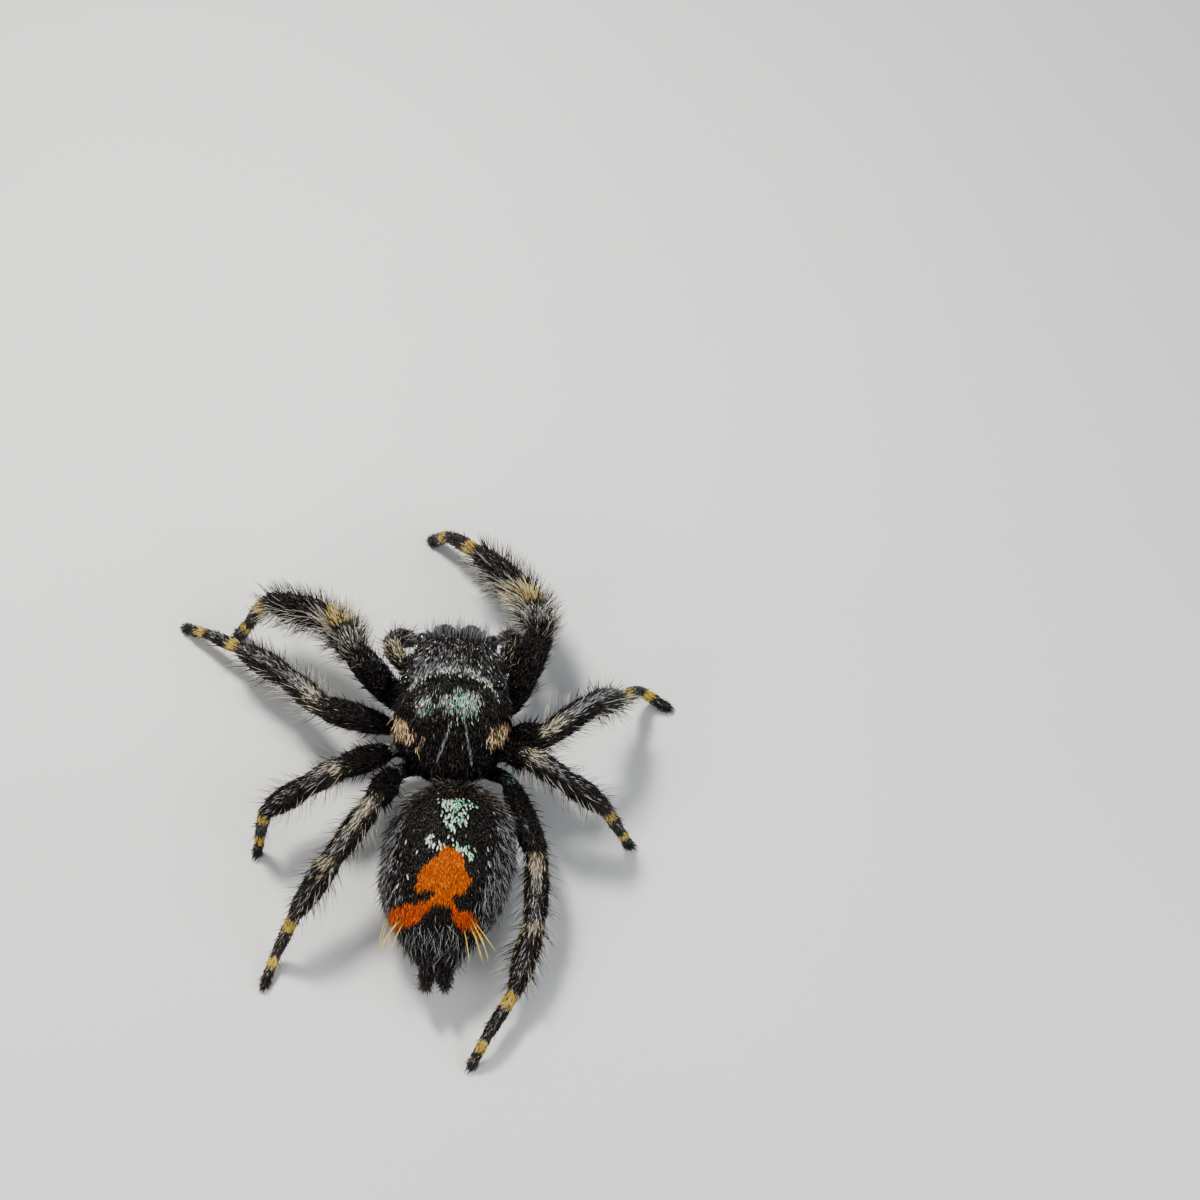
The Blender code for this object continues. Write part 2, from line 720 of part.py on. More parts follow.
def material(name):
    colour, roughness, metallic = COLOURS[name]
    made = bpy.data.materials.new(name)
    made.use_nodes = True
    shader = made.node_tree.nodes["Principled BSDF"]
    shader.inputs["Base Color"].default_value = (*colour, 1.0)
    shader.inputs["Roughness"].default_value = roughness
    shader.inputs["Metallic"].default_value = metallic
    return made


def material_of(name):
    return MATERIALS.get(name.split("_")[0], "cuticle")


def finish(things):
    """Gathers the pieces, gives them their materials, and puts them in place in metres."""
    group = bpy.data.collections.new(NAME)
    bpy.context.scene.collection.children.link(group)
    corners = np.array([v.co for thing in things for v in thing.data.vertices])
    low, high = corners.min(axis=0), corners.max(axis=0)
    shift = Vector((-(low[0] + high[0]) / 2, -(low[1] + high[1]) / 2, -low[2]))
    to_row = Matrix.Scale(METRES_PER_MM, 4) @ Matrix.Translation(shift)
    finishes = {name: material(name) for name in COLOURS}
    for thing in things:
        bpy.context.scene.collection.objects.unlink(thing)
        group.objects.link(thing)
        thing.data.transform(to_row)
        thing.data.materials.clear()
        thing.data.materials.append(finishes[material_of(thing.name)])
        thing.data.shade_smooth()
        thing.data.set_sharp_from_angle(angle=math.radians(40))


def bare_pieces():
    """Every piece without its locks, cut back from those that it grows from."""
    forms, clear_of = all_forms()
    things = {}
    for name, form in forms.items():
        thing = form()
        thing.name = name
        for neighbour in clear_of.get(name, ()):
            gap = EYE_GAP if neighbour.startswith("eye") else GAP
            cut(thing, forms[neighbour](gap))
        if name.endswith("foot"):
            stand_on_floor(thing)
        things[name] = thing
    return things


def main():
    clear_scene()
    random.seed(8)
    things = bare_pieces()
    surfaces = {name: surface_tree(thing) for name, thing in things.items()}
    for name, coats in all_coats().items():
        others = [surface for other, surface in surfaces.items() if other != name]
        locks = [made for coat, roots in coats for made in clear_locks(roots, coat, others)]
        fuse(things[name], locks)
        surfaces[name] = surface_tree(things[name])
    finish(list(things.values()))


main()
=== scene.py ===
# %% [markdown]
# A bold jumping spider in its coat. The solids of the spider are already built at life size, under 8 mm of
# body, and they stay where they are. This lesson dresses them: one skin without seams, a coat of solid hairs
# that lie as the real ones do, glossy eyes, green jaws and tiny claws.

# %% Load the frame
import math
from contextlib import contextmanager

import bmesh
import bpy
import numpy as np
from mathutils import Matrix, Vector


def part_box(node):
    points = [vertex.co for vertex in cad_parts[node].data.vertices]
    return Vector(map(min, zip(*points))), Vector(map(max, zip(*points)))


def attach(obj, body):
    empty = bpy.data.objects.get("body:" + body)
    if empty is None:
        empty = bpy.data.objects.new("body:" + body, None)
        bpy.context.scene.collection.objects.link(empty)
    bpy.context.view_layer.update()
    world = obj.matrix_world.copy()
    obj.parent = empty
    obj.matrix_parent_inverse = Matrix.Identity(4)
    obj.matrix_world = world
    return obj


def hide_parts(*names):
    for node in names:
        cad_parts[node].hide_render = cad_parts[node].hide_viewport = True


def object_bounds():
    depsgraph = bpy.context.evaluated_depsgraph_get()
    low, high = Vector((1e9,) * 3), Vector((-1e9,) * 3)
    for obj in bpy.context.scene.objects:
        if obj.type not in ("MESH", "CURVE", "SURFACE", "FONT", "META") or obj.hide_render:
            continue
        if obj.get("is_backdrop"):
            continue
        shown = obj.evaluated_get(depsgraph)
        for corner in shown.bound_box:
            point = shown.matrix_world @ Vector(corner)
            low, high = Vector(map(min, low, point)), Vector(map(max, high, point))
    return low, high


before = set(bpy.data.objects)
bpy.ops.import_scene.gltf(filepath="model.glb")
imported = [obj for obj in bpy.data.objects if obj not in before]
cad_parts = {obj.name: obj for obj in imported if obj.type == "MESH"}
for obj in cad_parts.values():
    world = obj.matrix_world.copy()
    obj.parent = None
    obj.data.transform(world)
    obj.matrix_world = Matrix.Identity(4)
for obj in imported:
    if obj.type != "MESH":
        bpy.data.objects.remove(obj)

CAD_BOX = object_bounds()
print("solids", len(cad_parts), "box in mm", [round(1000 * (b - a), 1) for a, b in zip(*CAD_BOX)])

# %% [markdown]
# Places on the body. A place is (left, forward, up) in millimetres from the middle of the breastplate, on the
# floor. Blender's merge and remesh distances suit sizes near 1, so every piece is modelled in millimetres and
# comes down to metres when it is finished.

# %% Places on the body
MM = 0.001
SIDES = {"left": 1, "right": -1}
BREASTPLATE_MIDDLE_FORWARD = -0.01
low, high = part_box("sternum")
SHIFT = Vector(((low.x + high.x) / 2 / MM, (low.y + high.y) / 2 / MM + BREASTPLATE_MIDDLE_FORWARD, 0.0))


def place(left, forward, up):
    """A place on the body as a point, in millimetres. The spider faces -Y."""
    return Vector((left, -forward, up))


def in_metres(point):
    """A point of the body as a point of the scene."""
    return (Vector(point) + SHIFT) * MM


print("breastplate at", [round(x, 3) for x in SHIFT])

# %% [markdown]
# Floor, light and camera. The spider is seen from above and behind, from where the scale of the picture
# and the slope of the ground put the camera. A pale floor and large soft lights come first, so that each
# piece can be judged as it is made. One smaller light from ahead gives the hairs their silver glints.

# %% Camera
CAMERA_RISE = math.radians(61.9)
CAMERA_FAR = 96.4
SPIDER_AT = (-3.42, -4.30)
BODY_TURN = math.radians(3)


def on_ground(right, away, up=0.0):
    """A place to the right of the picture's middle and away from the camera, in the scene."""
    across, ahead = right - SPIDER_AT[0], away - SPIDER_AT[1]
    left = -across * math.cos(BODY_TURN) + ahead * math.sin(BODY_TURN)
    forward = across * math.sin(BODY_TURN) + ahead * math.cos(BODY_TURN)
    return in_metres(place(left, forward, up))


def set_up(name, data, at, target):
    """Puts a camera or a light at its place and turns it to its target."""
    thing = bpy.data.objects.new(name, data)
    bpy.context.scene.collection.objects.link(thing)
    thing.location = at
    thing.rotation_mode = "QUATERNION"
    thing.rotation_quaternion = (target - thing.location).to_track_quat("-Z", "Y")
    return thing


lens = bpy.data.cameras.new("camera")
lens.lens, lens.clip_start, lens.clip_end = 120, 0.002, 2.0
camera_at = on_ground(0, -CAMERA_FAR * math.cos(CAMERA_RISE), CAMERA_FAR * math.sin(CAMERA_RISE))
bpy.context.scene.camera = set_up("camera", lens, camera_at, on_ground(0, 0))
print("camera at mm", [round(x / MM, 1) for x in camera_at])

# %% Floor and lights
LIGHTS = {
    "key": ((-12, 20, 42), 9, 0.026, (1.0, 0.98, 0.95)),
    "fill": ((34, -20, 30), 36, 0.013, (0.92, 0.96, 1.0)),
    "back": ((-30, -34, 26), 26, 0.011, (1.0, 0.97, 0.94)),
}
LIT_HEIGHT = 1.5
for name, ((right, away, up), size, power, colour) in LIGHTS.items():
    light = bpy.data.lights.new(name, "AREA")
    light.size, light.energy, light.color = size * MM, power, colour
    at = on_ground(SPIDER_AT[0] + right, SPIDER_AT[1] + away, up)
    set_up(name, light, at, on_ground(*SPIDER_AT, LIT_HEIGHT))

world = bpy.data.worlds.new("studio")
bpy.context.scene.world = world
world.use_nodes = True
world.node_tree.nodes["Background"].inputs["Color"].default_value = (0.80, 0.84, 0.90, 1.0)
world.node_tree.nodes["Background"].inputs["Strength"].default_value = 0.36
bpy.context.scene.view_settings.view_transform = "AgX"
bpy.context.scene.view_settings.look = "AgX - Medium High Contrast"


def primitive(operator, name, **settings):
    """A new primitive, alone and with all else deselected."""
    bpy.ops.object.select_all(action="DESELECT")
    operator(location=(0, 0, 0), **settings)
    bpy.context.object.name = name
    return bpy.context.object


floor = primitive(bpy.ops.mesh.primitive_plane_add, "floor", size=0.8)
floor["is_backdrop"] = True
print("lights", len(LIGHTS))

# %% [markdown]
# Shader maths. A material is easier to read as a formula than as a web of nodes. A Wire is an output of a
# node: Python's operators on it add Math nodes. A Finish is one material, whose other nodes all come from
# one method. Colours are mixed by Mix nodes, because a Math node would turn them grey.

# %% Wires and finishes
def arithmetic(operation):
    """An operator that adds a Math node, and its reflected form."""

    def forwards(wire, other):
        return wire.finish.node("ShaderNodeMath", {"operation": operation}, {0: wire, 1: other})

    def backwards(wire, other):
        return wire.finish.node("ShaderNodeMath", {"operation": operation}, {0: other, 1: wire})

    return forwards, backwards


class Wire:
    """An output of a node, on which Python's operators add Math nodes."""

    __add__, __radd__ = arithmetic("ADD")
    __sub__, __rsub__ = arithmetic("SUBTRACT")
    __mul__, __rmul__ = arithmetic("MULTIPLY")
    __pow__, __rpow__ = arithmetic("POWER")

    def __init__(self, finish, socket):
        self.finish, self.socket = finish, socket


class Finish:
    """One material, built node by node."""

    def __init__(self, name):
        self.material = bpy.data.materials.new(name)
        self.material.use_nodes = True
        self.tree = self.material.node_tree
        self.shader = self.tree.nodes["Principled BSDF"]

    def node(self, kind, settings={}, values={}, output=0):
        """A node: first its settings, where stops are a ramp's, then its values or links."""
        made = self.tree.nodes.new(kind)
        for key, value in settings.items():
            if key == "stops":
                ramp = made.color_ramp.elements
                for more in value[2:]:
                    ramp.new(0.5)
                for element, (position, colour) in zip(ramp, value):
                    element.position, element.color = position, (*colour, 1.0)
            else:
                setattr(made, key, value)
        for key, value in values.items():
            self.feed(made.inputs[key], value)
        return Wire(self, made.outputs[output])

    def feed(self, socket, value):
        if isinstance(value, Wire):
            self.tree.links.new(value.socket, socket)
        else:
            socket.default_value = (*value, 1.0) if socket.type == "RGBA" else value

    def set(self, **values):
        """Feeds the shader's own sockets, named with underscores for spaces."""
        for key, value in values.items():
            self.feed(self.shader.inputs[key.replace("_", " ")], value)

    def mix(self, first, second, share):
        """From one colour to the other, by a share."""
        return self.node("ShaderNodeMix", {"data_type": "RGBA"}, {0: share, 6: first, 7: second}, 2)

    def where(self):
        return self.node("ShaderNodeTexCoord", output="Object")

    def noise(self, scale, detail=3.0):
        """Soft noise on Object coordinates, so many waves to a metre."""
        values = {"Vector": self.where(), "Scale": scale, "Detail": detail, "Roughness": 0.55}
        return self.node("ShaderNodeTexNoise", {}, values)

    def three(self, attribute):
        """The three numbers of a vector attribute of the mesh."""
        read = self.node("ShaderNodeAttribute", {"attribute_name": attribute}, {}, "Vector")
        parts = self.node("ShaderNodeSeparateXYZ", {}, {0: read}).socket.node
        return [Wire(self, socket) for socket in parts.outputs]

    def bump(self, height, distance):
        values = {"Height": height, "Distance": distance, "Strength": 1.0}
        self.set(Normal=self.node("ShaderNodeBump", {}, values))


def mottled(name, dark, pale, waves, detail=3.0, **values):
    """A finish whose colour drifts softly between two tones."""
    finish = Finish(name)
    finish.set(Base_Color=finish.mix(dark, pale, finish.noise(waves, detail)), **values)
    return finish.material


board = mottled("pale_floor", (0.60, 0.60, 0.59), (0.66, 0.655, 0.64), 60, Roughness=0.75)
floor.data.materials.append(board)
print("floor finished")

# %% [markdown]
# Modelling by hand. Blender's operators act on what is selected, and loading the frame leaves its solids
# selected, so every piece begins by selecting only itself. In edit mode, points are chosen by a test on
# their place.

# %% Helpers for modelling by hand
def select_only(*things):
    bpy.ops.object.select_all(action="DESELECT")
    for thing in things:
        thing.select_set(True)
    bpy.context.view_layer.objects.active = things[0]


def select_all():
    bpy.ops.mesh.select_all(action="SELECT")


def select_points(test):
    """Selects, in edit mode, the points that pass a test."""
    mesh = bpy.context.object.data
    bm = bmesh.from_edit_mesh(mesh)
    for vertex in bm.verts:
        vertex.select_set(bool(test(vertex)))
    bm.select_flush_mode()
    bmesh.update_edit_mesh(mesh)


def resize(factors, centre=(0, 0, 0)):
    bpy.ops.transform.resize(value=factors, center_override=centre)


def move(offset):
    bpy.ops.transform.translate(value=offset)


@contextmanager
def edit_mode(thing):
    """Edit mode, with all of the thing selected."""
    select_only(thing)
    bpy.ops.object.mode_set(mode="EDIT")
    select_all()
    yield
    bpy.ops.object.mode_set(mode="OBJECT")


def apply_modifier(thing, kind, **settings):
    select_only(thing)
    made = thing.modifiers.new(kind.lower(), kind)
    for key, value in settings.items():
        setattr(made, key, value)
    bpy.ops.object.modifier_apply(modifier=made.name)


def join(things, name):
    select_only(*things)
    bpy.ops.object.join()
    bpy.context.object.name = name
    return bpy.context.object


def dress(piece, material, nodes=()):
    """Brings a finished piece to metres and to its place, and gives it its material and its body."""
    select_only(piece)
    piece.location = SHIFT * MM
    piece.scale = (MM, MM, MM)
    bpy.ops.object.transform_apply()
    piece.data.materials.clear()
    piece.data.materials.append(material)
    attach(piece, "root")
    if nodes:
        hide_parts(*nodes)


print("helpers ready")

# %% [markdown]
# The body. A jumping spider's carapace is a high box with rounded edges, and its abdomen an egg that swings
# a little to one side. Each is extruded ring by ring from its front end. A station sets a ring: how far
# forward and left it lies, half its width, the height of its widest line, its top and its underside, and
# how square it is. The skin lies inside the solids by the flat coat's depth, so every ring is drawn in.

# %% The body's stations
STATIONS = {
    "carapace": (
        (-1.36, 0, 0.95, 1.60, 1.98, 1.38, 2.2), (-0.90, 0, 1.22, 1.62, 2.30, 1.37, 2.3),
        (-0.40, 0, 1.38, 1.66, 2.66, 1.37, 2.5), (0.10, 0, 1.41, 1.70, 2.90, 1.38, 2.8),
        (0.60, 0, 1.34, 1.76, 2.97, 1.42, 3.0), (1.30, 0, 1.20, 1.86, 2.96, 1.54, 3.2),
        (1.95, 0, 1.06, 2.04, 2.86, 1.72, 3.4), (2.18, 0, 0.98, 2.12, 2.76, 1.78, 3.4),
    ),
    "abdomen": (
        (-5.70, 0.02, 0.78, 1.12, 1.62, 0.66, 2.0), (-5.20, 0, 1.02, 1.34, 2.02, 0.60, 2.0),
        (-4.50, -0.04, 1.32, 1.52, 2.44, 0.54, 2.1), (-3.70, -0.09, 1.46, 1.62, 2.70, 0.52, 2.1),
        (-2.90, -0.14, 1.46, 1.66, 2.78, 0.54, 2.1), (-2.10, -0.19, 1.34, 1.68, 2.69, 0.68, 2.1),
        (-1.48, -0.22, 1.14, 1.68, 2.46, 0.92, 2.0),
    ),
    "sternum": (
        (-0.78, 0, 0.20, 1.00, 1.26, 0.80, 2.4), (-0.30, 0, 0.40, 1.00, 1.27, 0.72, 2.6),
        (0.35, 0, 0.42, 1.00, 1.27, 0.72, 2.6), (0.76, 0, 0.24, 1.00, 1.26, 0.80, 2.4),
    ),
}
BLUNTNESS = {"carapace": (0.45, 0.62), "abdomen": (0.62, 0.72), "sternum": (0.6, 0.6)}
BODY_COAT_DEPTH = 0.07
TABLE_STEPS = 200
NARROWEST = 0.02


class Form:
    """A form along the body, whose cross sections follow its stations on a smooth curve."""

    def __init__(self, stations, ends):
        rows = np.array(stations, float)
        self.ends = ends
        self.middle = (rows[-1, 0] + rows[0, 0]) / 2
        self.half = (rows[-1, 0] - rows[0, 0]) / 2
        self.places = np.linspace(rows[0, 0], rows[-1, 0], TABLE_STEPS)
        slopes = np.gradient(rows, rows[:, 0], axis=0)
        left = np.clip(np.searchsorted(rows[:, 0], self.places) - 1, 0, len(rows) - 2)
        span = (rows[left + 1, 0] - rows[left, 0])[:, None]
        t = (self.places - rows[left, 0])[:, None] / span
        self.table = (
            (2 * t**3 - 3 * t**2 + 1) * rows[left] + (t**3 - 2 * t**2 + t) * span * slopes[left]
            + (3 * t**2 - 2 * t**3) * rows[left + 1] + (t**3 - t**2) * span * slopes[left + 1]
        )[:, 1:]

    def at(self, forward):
        """Left, half width, widest line, top, underside and squareness at places along the body."""
        return [np.interp(forward, self.places, column) for column in self.table.T]

    def end(self, turn):
        """How blunt the form's end is on this side of its middle."""
        return self.ends[0] if turn < math.pi / 2 else self.ends[1]

    def forward(self, turn):
        return self.middle + self.half * math.copysign(abs(math.cos(turn)) ** self.end(turn), math.cos(turn))

    def outside(self, points):
        """Roughly how far points (left, forward, up) lie outside the form."""
        left, width, waist, top, under, box = self.at(points[:, 1])
        share = np.clip((points[:, 1] - self.middle) / self.half, -1, 1)
        end = np.where(share > 0, self.ends[0], self.ends[1])
        ring = np.maximum(np.clip(1 - (np.abs(share) ** (1 / end)) ** 2, 0, 1) ** (end / 2), NARROWEST)
        height = np.where(points[:, 2] > waist, top - waist, waist - under)
        beside = np.abs(points[:, 0] - left) / (width * ring)
        upward = np.abs(points[:, 2] - waist) / (height * ring)
        beyond = (beside**box + upward**box) ** (1 / box)
        over = np.maximum(np.abs(points[:, 1] - self.middle) - self.half, 0)
        return (beyond - 1) * np.minimum(width, height) * ring + over


FORMS = {name: Form(stations, BLUNTNESS[name]) for name, stations in STATIONS.items()}
print("forms", {name: round(2 * form.half, 2) for name, form in FORMS.items()}, "mm long")

# %% Extrude the body ring by ring
RING_SIDES = 24
RINGS = {"carapace": 22, "abdomen": 22, "sternum": 8}


def square_ring(centre, sizes, old_box, box):
    """Makes the selected ring squarer or rounder, one set of points at a time, and tells its points."""
    bm = bmesh.from_edit_mesh(bpy.context.object.data)
    sets = {}
    for vertex in bm.verts:
        if vertex.select:
            beside = abs(vertex.co.x - centre.x) / sizes[0]
            upward = abs(vertex.co.z - centre.z) / (sizes[1] if vertex.co.z > centre.z else sizes[2])
            turn = math.atan2(upward ** (old_box / 2), beside ** (old_box / 2))
            sets.setdefault(round(turn * RING_SIDES / math.tau), set()).add(vertex.index)
    more = 2 / box - 2 / old_box
    for step, chosen in sets.items():
        turn = step * math.tau / RING_SIDES
        if 0 < step < RING_SIDES // 4:
            select_points(lambda vertex: vertex.index in chosen)
            resize((math.cos(turn) ** more, 1.0, math.sin(turn) ** more), centre)
    return set().union(*sets.values())


def body_form(name, form, rings):
    """A closed form along the body, extruded ring by ring from its front end."""
    circle = bpy.ops.mesh.primitive_circle_add
    thing = primitive(circle, name + "_skin", vertices=RING_SIDES, radius=1, rotation=(math.pi / 2, 0, 0))
    bpy.ops.object.transform_apply()
    centre, sizes, box = Vector((0, 0, 0)), (1.0, 1.0, 1.0), 2.0
    with edit_mode(thing):
        for count, turn in enumerate(np.linspace(0, math.pi, rings + 2)[1:-1]):
            forward = form.forward(turn)
            left, width, waist, top, under, new_box = [float(value) for value in form.at(forward)]
            ring = math.sin(turn) ** form.end(turn)
            inner = [(size - BODY_COAT_DEPTH) * ring for size in (width, top - waist, waist - under)]
            new_centre = place(left, forward - BODY_COAT_DEPTH * math.cos(turn), waist)
            if count:
                bpy.ops.mesh.extrude_region_move()
            whole = square_ring(centre, sizes, box, new_box)
            select_points(lambda vertex: vertex.index in whole)
            resize((inner[0] / sizes[0], 1, 1), centre)
            for sign, new, old in ((1, inner[1], sizes[1]), (-1, inner[2], sizes[2])):
                select_points(lambda v: v.index in whole and sign * (v.co.z - centre.z) > 1e-5)
                resize((1, 1, new / old), centre)
            select_points(lambda vertex: vertex.index in whole)
            move(new_centre - centre)
            centre, sizes, box = new_centre, inner, new_box
        select_all()
        bpy.ops.mesh.fill_holes(sides=0)
        select_all()
        bpy.ops.mesh.normals_make_consistent(inside=False)
    return thing


skin_parts = [body_form(name, form, RINGS[name]) for name, form in FORMS.items()]
print("body", [len(part.data.polygons) for part in skin_parts], "faces")

# %% [markdown]
# The limbs. A leg is a chain of tubes: a short coxa, the thick femur, the knee-like patella, the tibia, and a
# thin metatarsus and tarsus. A curve extruded point by point, each point with its own radius, gives the whole
# leg in one piece, with its narrow joints. The pose is a heading and a rise for each length.

# %% The legs' sizes and pose
SEGMENTS = {
    1: (2.15, 1.45, 1.70, 1.15, 0.80), 2: (1.85, 1.42, 1.55, 1.12, 0.80),
    3: (2.00, 1.05, 1.25, 1.00, 0.65), 4: (2.40, 1.60, 1.62, 1.30, 0.75),
}
COXA_ROOTS = {1: (0.30, 0.62), 2: (0.34, 0.21), 3: (0.34, -0.21), 4: (0.30, -0.62)}
HIPS = {1: (1.25, 0.85), 2: (1.40, 0.30), 3: (1.40, -0.25), 4: (1.30, -0.80)}
HIP_HEIGHT = 0.95
COXA_HIGHER = 0.03
FOOT_HEIGHT = 0.10
STEEPEST = 0.99
POSE = {
    (1, "left"): ((66, 31, 71, 93, 91), (57, -21, -12, -66)),
    (1, "right"): ((22, -21, -46, -48, -64), (31, -28, -4, -26)),
    (2, "left"): ((88, 44, 53, 58, 60), (27, -21, -14, -20)),
    (2, "right"): ((138, 50, 38, 35, 108), (54, 3, -50, -46)),
    (3, "left"): ((138, 101, 130, 117, 158), (41, -40, 4, -79)),
    (3, "right"): ((155, 111, 113, 107, 108), (63, -27, -29, -71)),
    (4, "left"): ((171, 144, 144, 138, 162), (48, -19, -29, -58)),
    (4, "right"): ((159, 178, 194, 208, 212), (13, -11, -16, -6)),
}
LEG_RADII = (
    (-1.0, 0.15), (-0.58, 0.22), (-0.2, 0.23), (0.0, 0.20), (0.25, 0.31), (0.58, 0.37), (0.86, 0.34),
    (1.0, 0.27), (1.12, 0.31), (1.43, 0.34), (1.88, 0.31), (2.0, 0.27), (2.12, 0.31), (2.41, 0.34),
    (2.78, 0.29), (2.96, 0.235), (3.03, 0.19), (3.2, 0.20), (3.5, 0.21), (3.9, 0.185), (4.0, 0.165),
    (4.12, 0.185), (4.7, 0.18), (5.0, 0.145),
)
STOUTNESS = {1: 1.06, 2: 0.96, 3: 0.92, 4: 0.92}
LEG_BENDS = (0.3, 0.14, 0.3, 0.14, 0.2)
PALPS = {
    "left": (
        (0.55, 1.20, 1.10), (1.10, 1.50, 1.40), (1.50, 1.88, 1.74),
        (1.62, 2.24, 1.58), (1.48, 2.56, 1.20), (1.22, 2.80, 0.72),
    ),
    "right": (
        (0.55, 1.20, 1.10), (0.92, 1.58, 1.30), (1.16, 2.00, 1.64),
        (1.28, 2.36, 1.52), (1.22, 2.68, 1.20), (1.00, 2.92, 0.72),
    ),
}
PALP_RADII = ((0.0, 0.22), (1.2, 0.19), (2.2, 0.23), (3.0, 0.21), (4.2, 0.25), (5.0, 0.19))
PALP_BENDS = (0.2, 0.2, 0.2, 0.2)
SPINNERETS = (((0.17, -5.42, 0.92), (0.22, -6.00, 0.78)), ((0.15, -5.40, 1.12), (0.20, -6.06, 1.06)))
SPINNERET_RADII = ((0.0, 0.17), (0.7, 0.14), (0.82, 0.10), (1.0, 0.09))
WAIST = ((0.0, -1.05, 1.55), (-0.19, -1.95, 1.55))
WAIST_RADII = ((0, 0.2), (1, 0.2))


def direction(side, heading, rise):
    turn, slope = math.radians(heading), math.radians(rise)
    flat = math.cos(slope)
    return Vector((side * math.sin(turn) * flat, -math.cos(turn) * flat, math.sin(slope)))


def leg_joints(number, side_name):
    """The coxa's root, hip, knee, patella's, tibia's and metatarsus's end, and foot of one leg."""
    side, lengths = SIDES[side_name], SEGMENTS[number]
    headings, rises = POSE[(number, side_name)]
    joints = [
        place(side * left, forward, HIP_HEIGHT + higher)
        for (left, forward), higher in ((COXA_ROOTS[number], COXA_HIGHER), (HIPS[number], 0))
    ]
    for length, heading, rise in zip(lengths, headings, rises):
        joints.append(joints[-1] + direction(side, heading, rise) * length)
    drop = (joints[-1].z - FOOT_HEIGHT) / lengths[-1]
    rise = -math.degrees(math.asin(max(-STEEPEST, min(STEEPEST, drop))))
    return [*joints, joints[-1] + direction(side, headings[-1], rise) * lengths[-1]]


class Limb:
    """A limb's centre line with its radius, and its own measure, 1 more at each joint."""

    def __init__(self, joints, bends, radii, first=0.0, spacing=0.2, stoutness=1.0):
        path, marks = [joints[0]], [first]
        for index, bend in enumerate(bends, 1):
            corner, where = joints[index], first + index
            back, ahead = joints[index - 1] - corner, joints[index + 1] - corner
            start, end = corner + back.normalized() * bend, corner + ahead.normalized() * bend
            path += [start, start * 0.25 + corner * 0.5 + end * 0.25, end]
            marks += [where - bend / back.length, where, where + bend / ahead.length]
        path.append(joints[-1])
        marks.append(first + len(joints) - 1)
        reached = np.cumsum([0, *[(b - a).length for a, b in zip(path, path[1:])]])
        wanted = np.linspace(0, reached[-1], max(3, round(reached[-1] / spacing)))
        self.points = np.stack([np.interp(wanted, reached, column) for column in np.array(path).T], axis=1)
        self.marks = np.interp(wanted, reached, marks)
        self.radii = np.interp(self.marks, *zip(*radii)) * stoutness


LEGS = {
    (number, side): Limb(leg_joints(number, side), LEG_BENDS, LEG_RADII, -1.0, stoutness=STOUTNESS[number])
    for side in SIDES
    for number in SEGMENTS
}
LIMBS = {f"leg_{number}_{side}": limb for (number, side), limb in LEGS.items()}
for side_name, side in SIDES.items():
    joints = [place(side * left, forward, up) for left, forward, up in PALPS[side_name]]
    LIMBS["pedipalp_" + side_name] = Limb(joints, PALP_BENDS, PALP_RADII, spacing=0.12)
    for index, ends in enumerate(SPINNERETS):
        tips = [place(side * left, forward, up) for left, forward, up in ends]
        LIMBS[f"spinneret_{index}_{side_name}"] = Limb(tips, (), SPINNERET_RADII, spacing=0.08)
LIMBS["waist"] = Limb([place(*end) for end in WAIST], (), WAIST_RADII)
print("limbs", len(LIMBS), "points", sum(len(limb.points) for limb in LIMBS.values()))

# %% Extrude the limbs point by point
DOME_ANGLES = (35, 65, 85)
LIMB_COAT_DEPTH = 0.05
SPINNERET_COAT_DEPTH = 0.01


def limb_by_hand(name, limb, inset=0):
    """A tube with a domed far end, from a curve that is extruded point by point."""
    points = [Vector(point) for point in limb.points]
    radii = [radius - inset for radius in limb.radii]
    tip, tip_radius = points[-1], radii[-1]
    ahead = (tip - points[-2]).normalized()
    for angle in DOME_ANGLES:
        points.append(tip + ahead * tip_radius * math.sin(math.radians(angle)))
        radii.append(tip_radius * math.cos(math.radians(angle)))
    tube = primitive(bpy.ops.curve.primitive_nurbs_path_add, name)
    bpy.ops.object.mode_set(mode="EDIT")
    bpy.ops.curve.spline_type_set(type="POLY")
    bpy.ops.curve.select_all(action="DESELECT")
    for point in tube.data.splines[0].points[1:]:
        point.select = True
    bpy.ops.curve.delete(type="VERT")
    start = tube.data.splines[0].points[0]
    start.select = True
    move(points[0] - start.co.xyz)
    bpy.ops.curve.radius_set(radius=radii[0])
    for before, after, radius in zip(points, points[1:], radii[1:]):
        bpy.ops.curve.extrude_move(TRANSFORM_OT_translate={"value": after - before})
        bpy.ops.curve.radius_set(radius=radius)
    bpy.ops.object.mode_set(mode="OBJECT")
    tube.data.bevel_depth = 1.0
    tube.data.bevel_resolution = 4
    tube.data.use_fill_caps = True
    bpy.ops.object.convert(target="MESH")
    with edit_mode(tube):
        bpy.ops.mesh.remove_doubles(threshold=0.001)
        bpy.ops.mesh.normals_make_consistent(inside=False)
    return tube


for name, limb in LIMBS.items():
    depth = SPINNERET_COAT_DEPTH if name.startswith("spinneret") else LIMB_COAT_DEPTH
    skin_parts.append(limb_by_hand(name, limb, depth))
print("skin parts", len(skin_parts))

# %% [markdown]
# Eye mounts and mouth. The eyes don't lie flat on the head: round mounts a little wider than the eyes are set
# behind them and melt into the skin. Below the head hang the mouth's two blunt lobes, with a small lower lip
# between them.

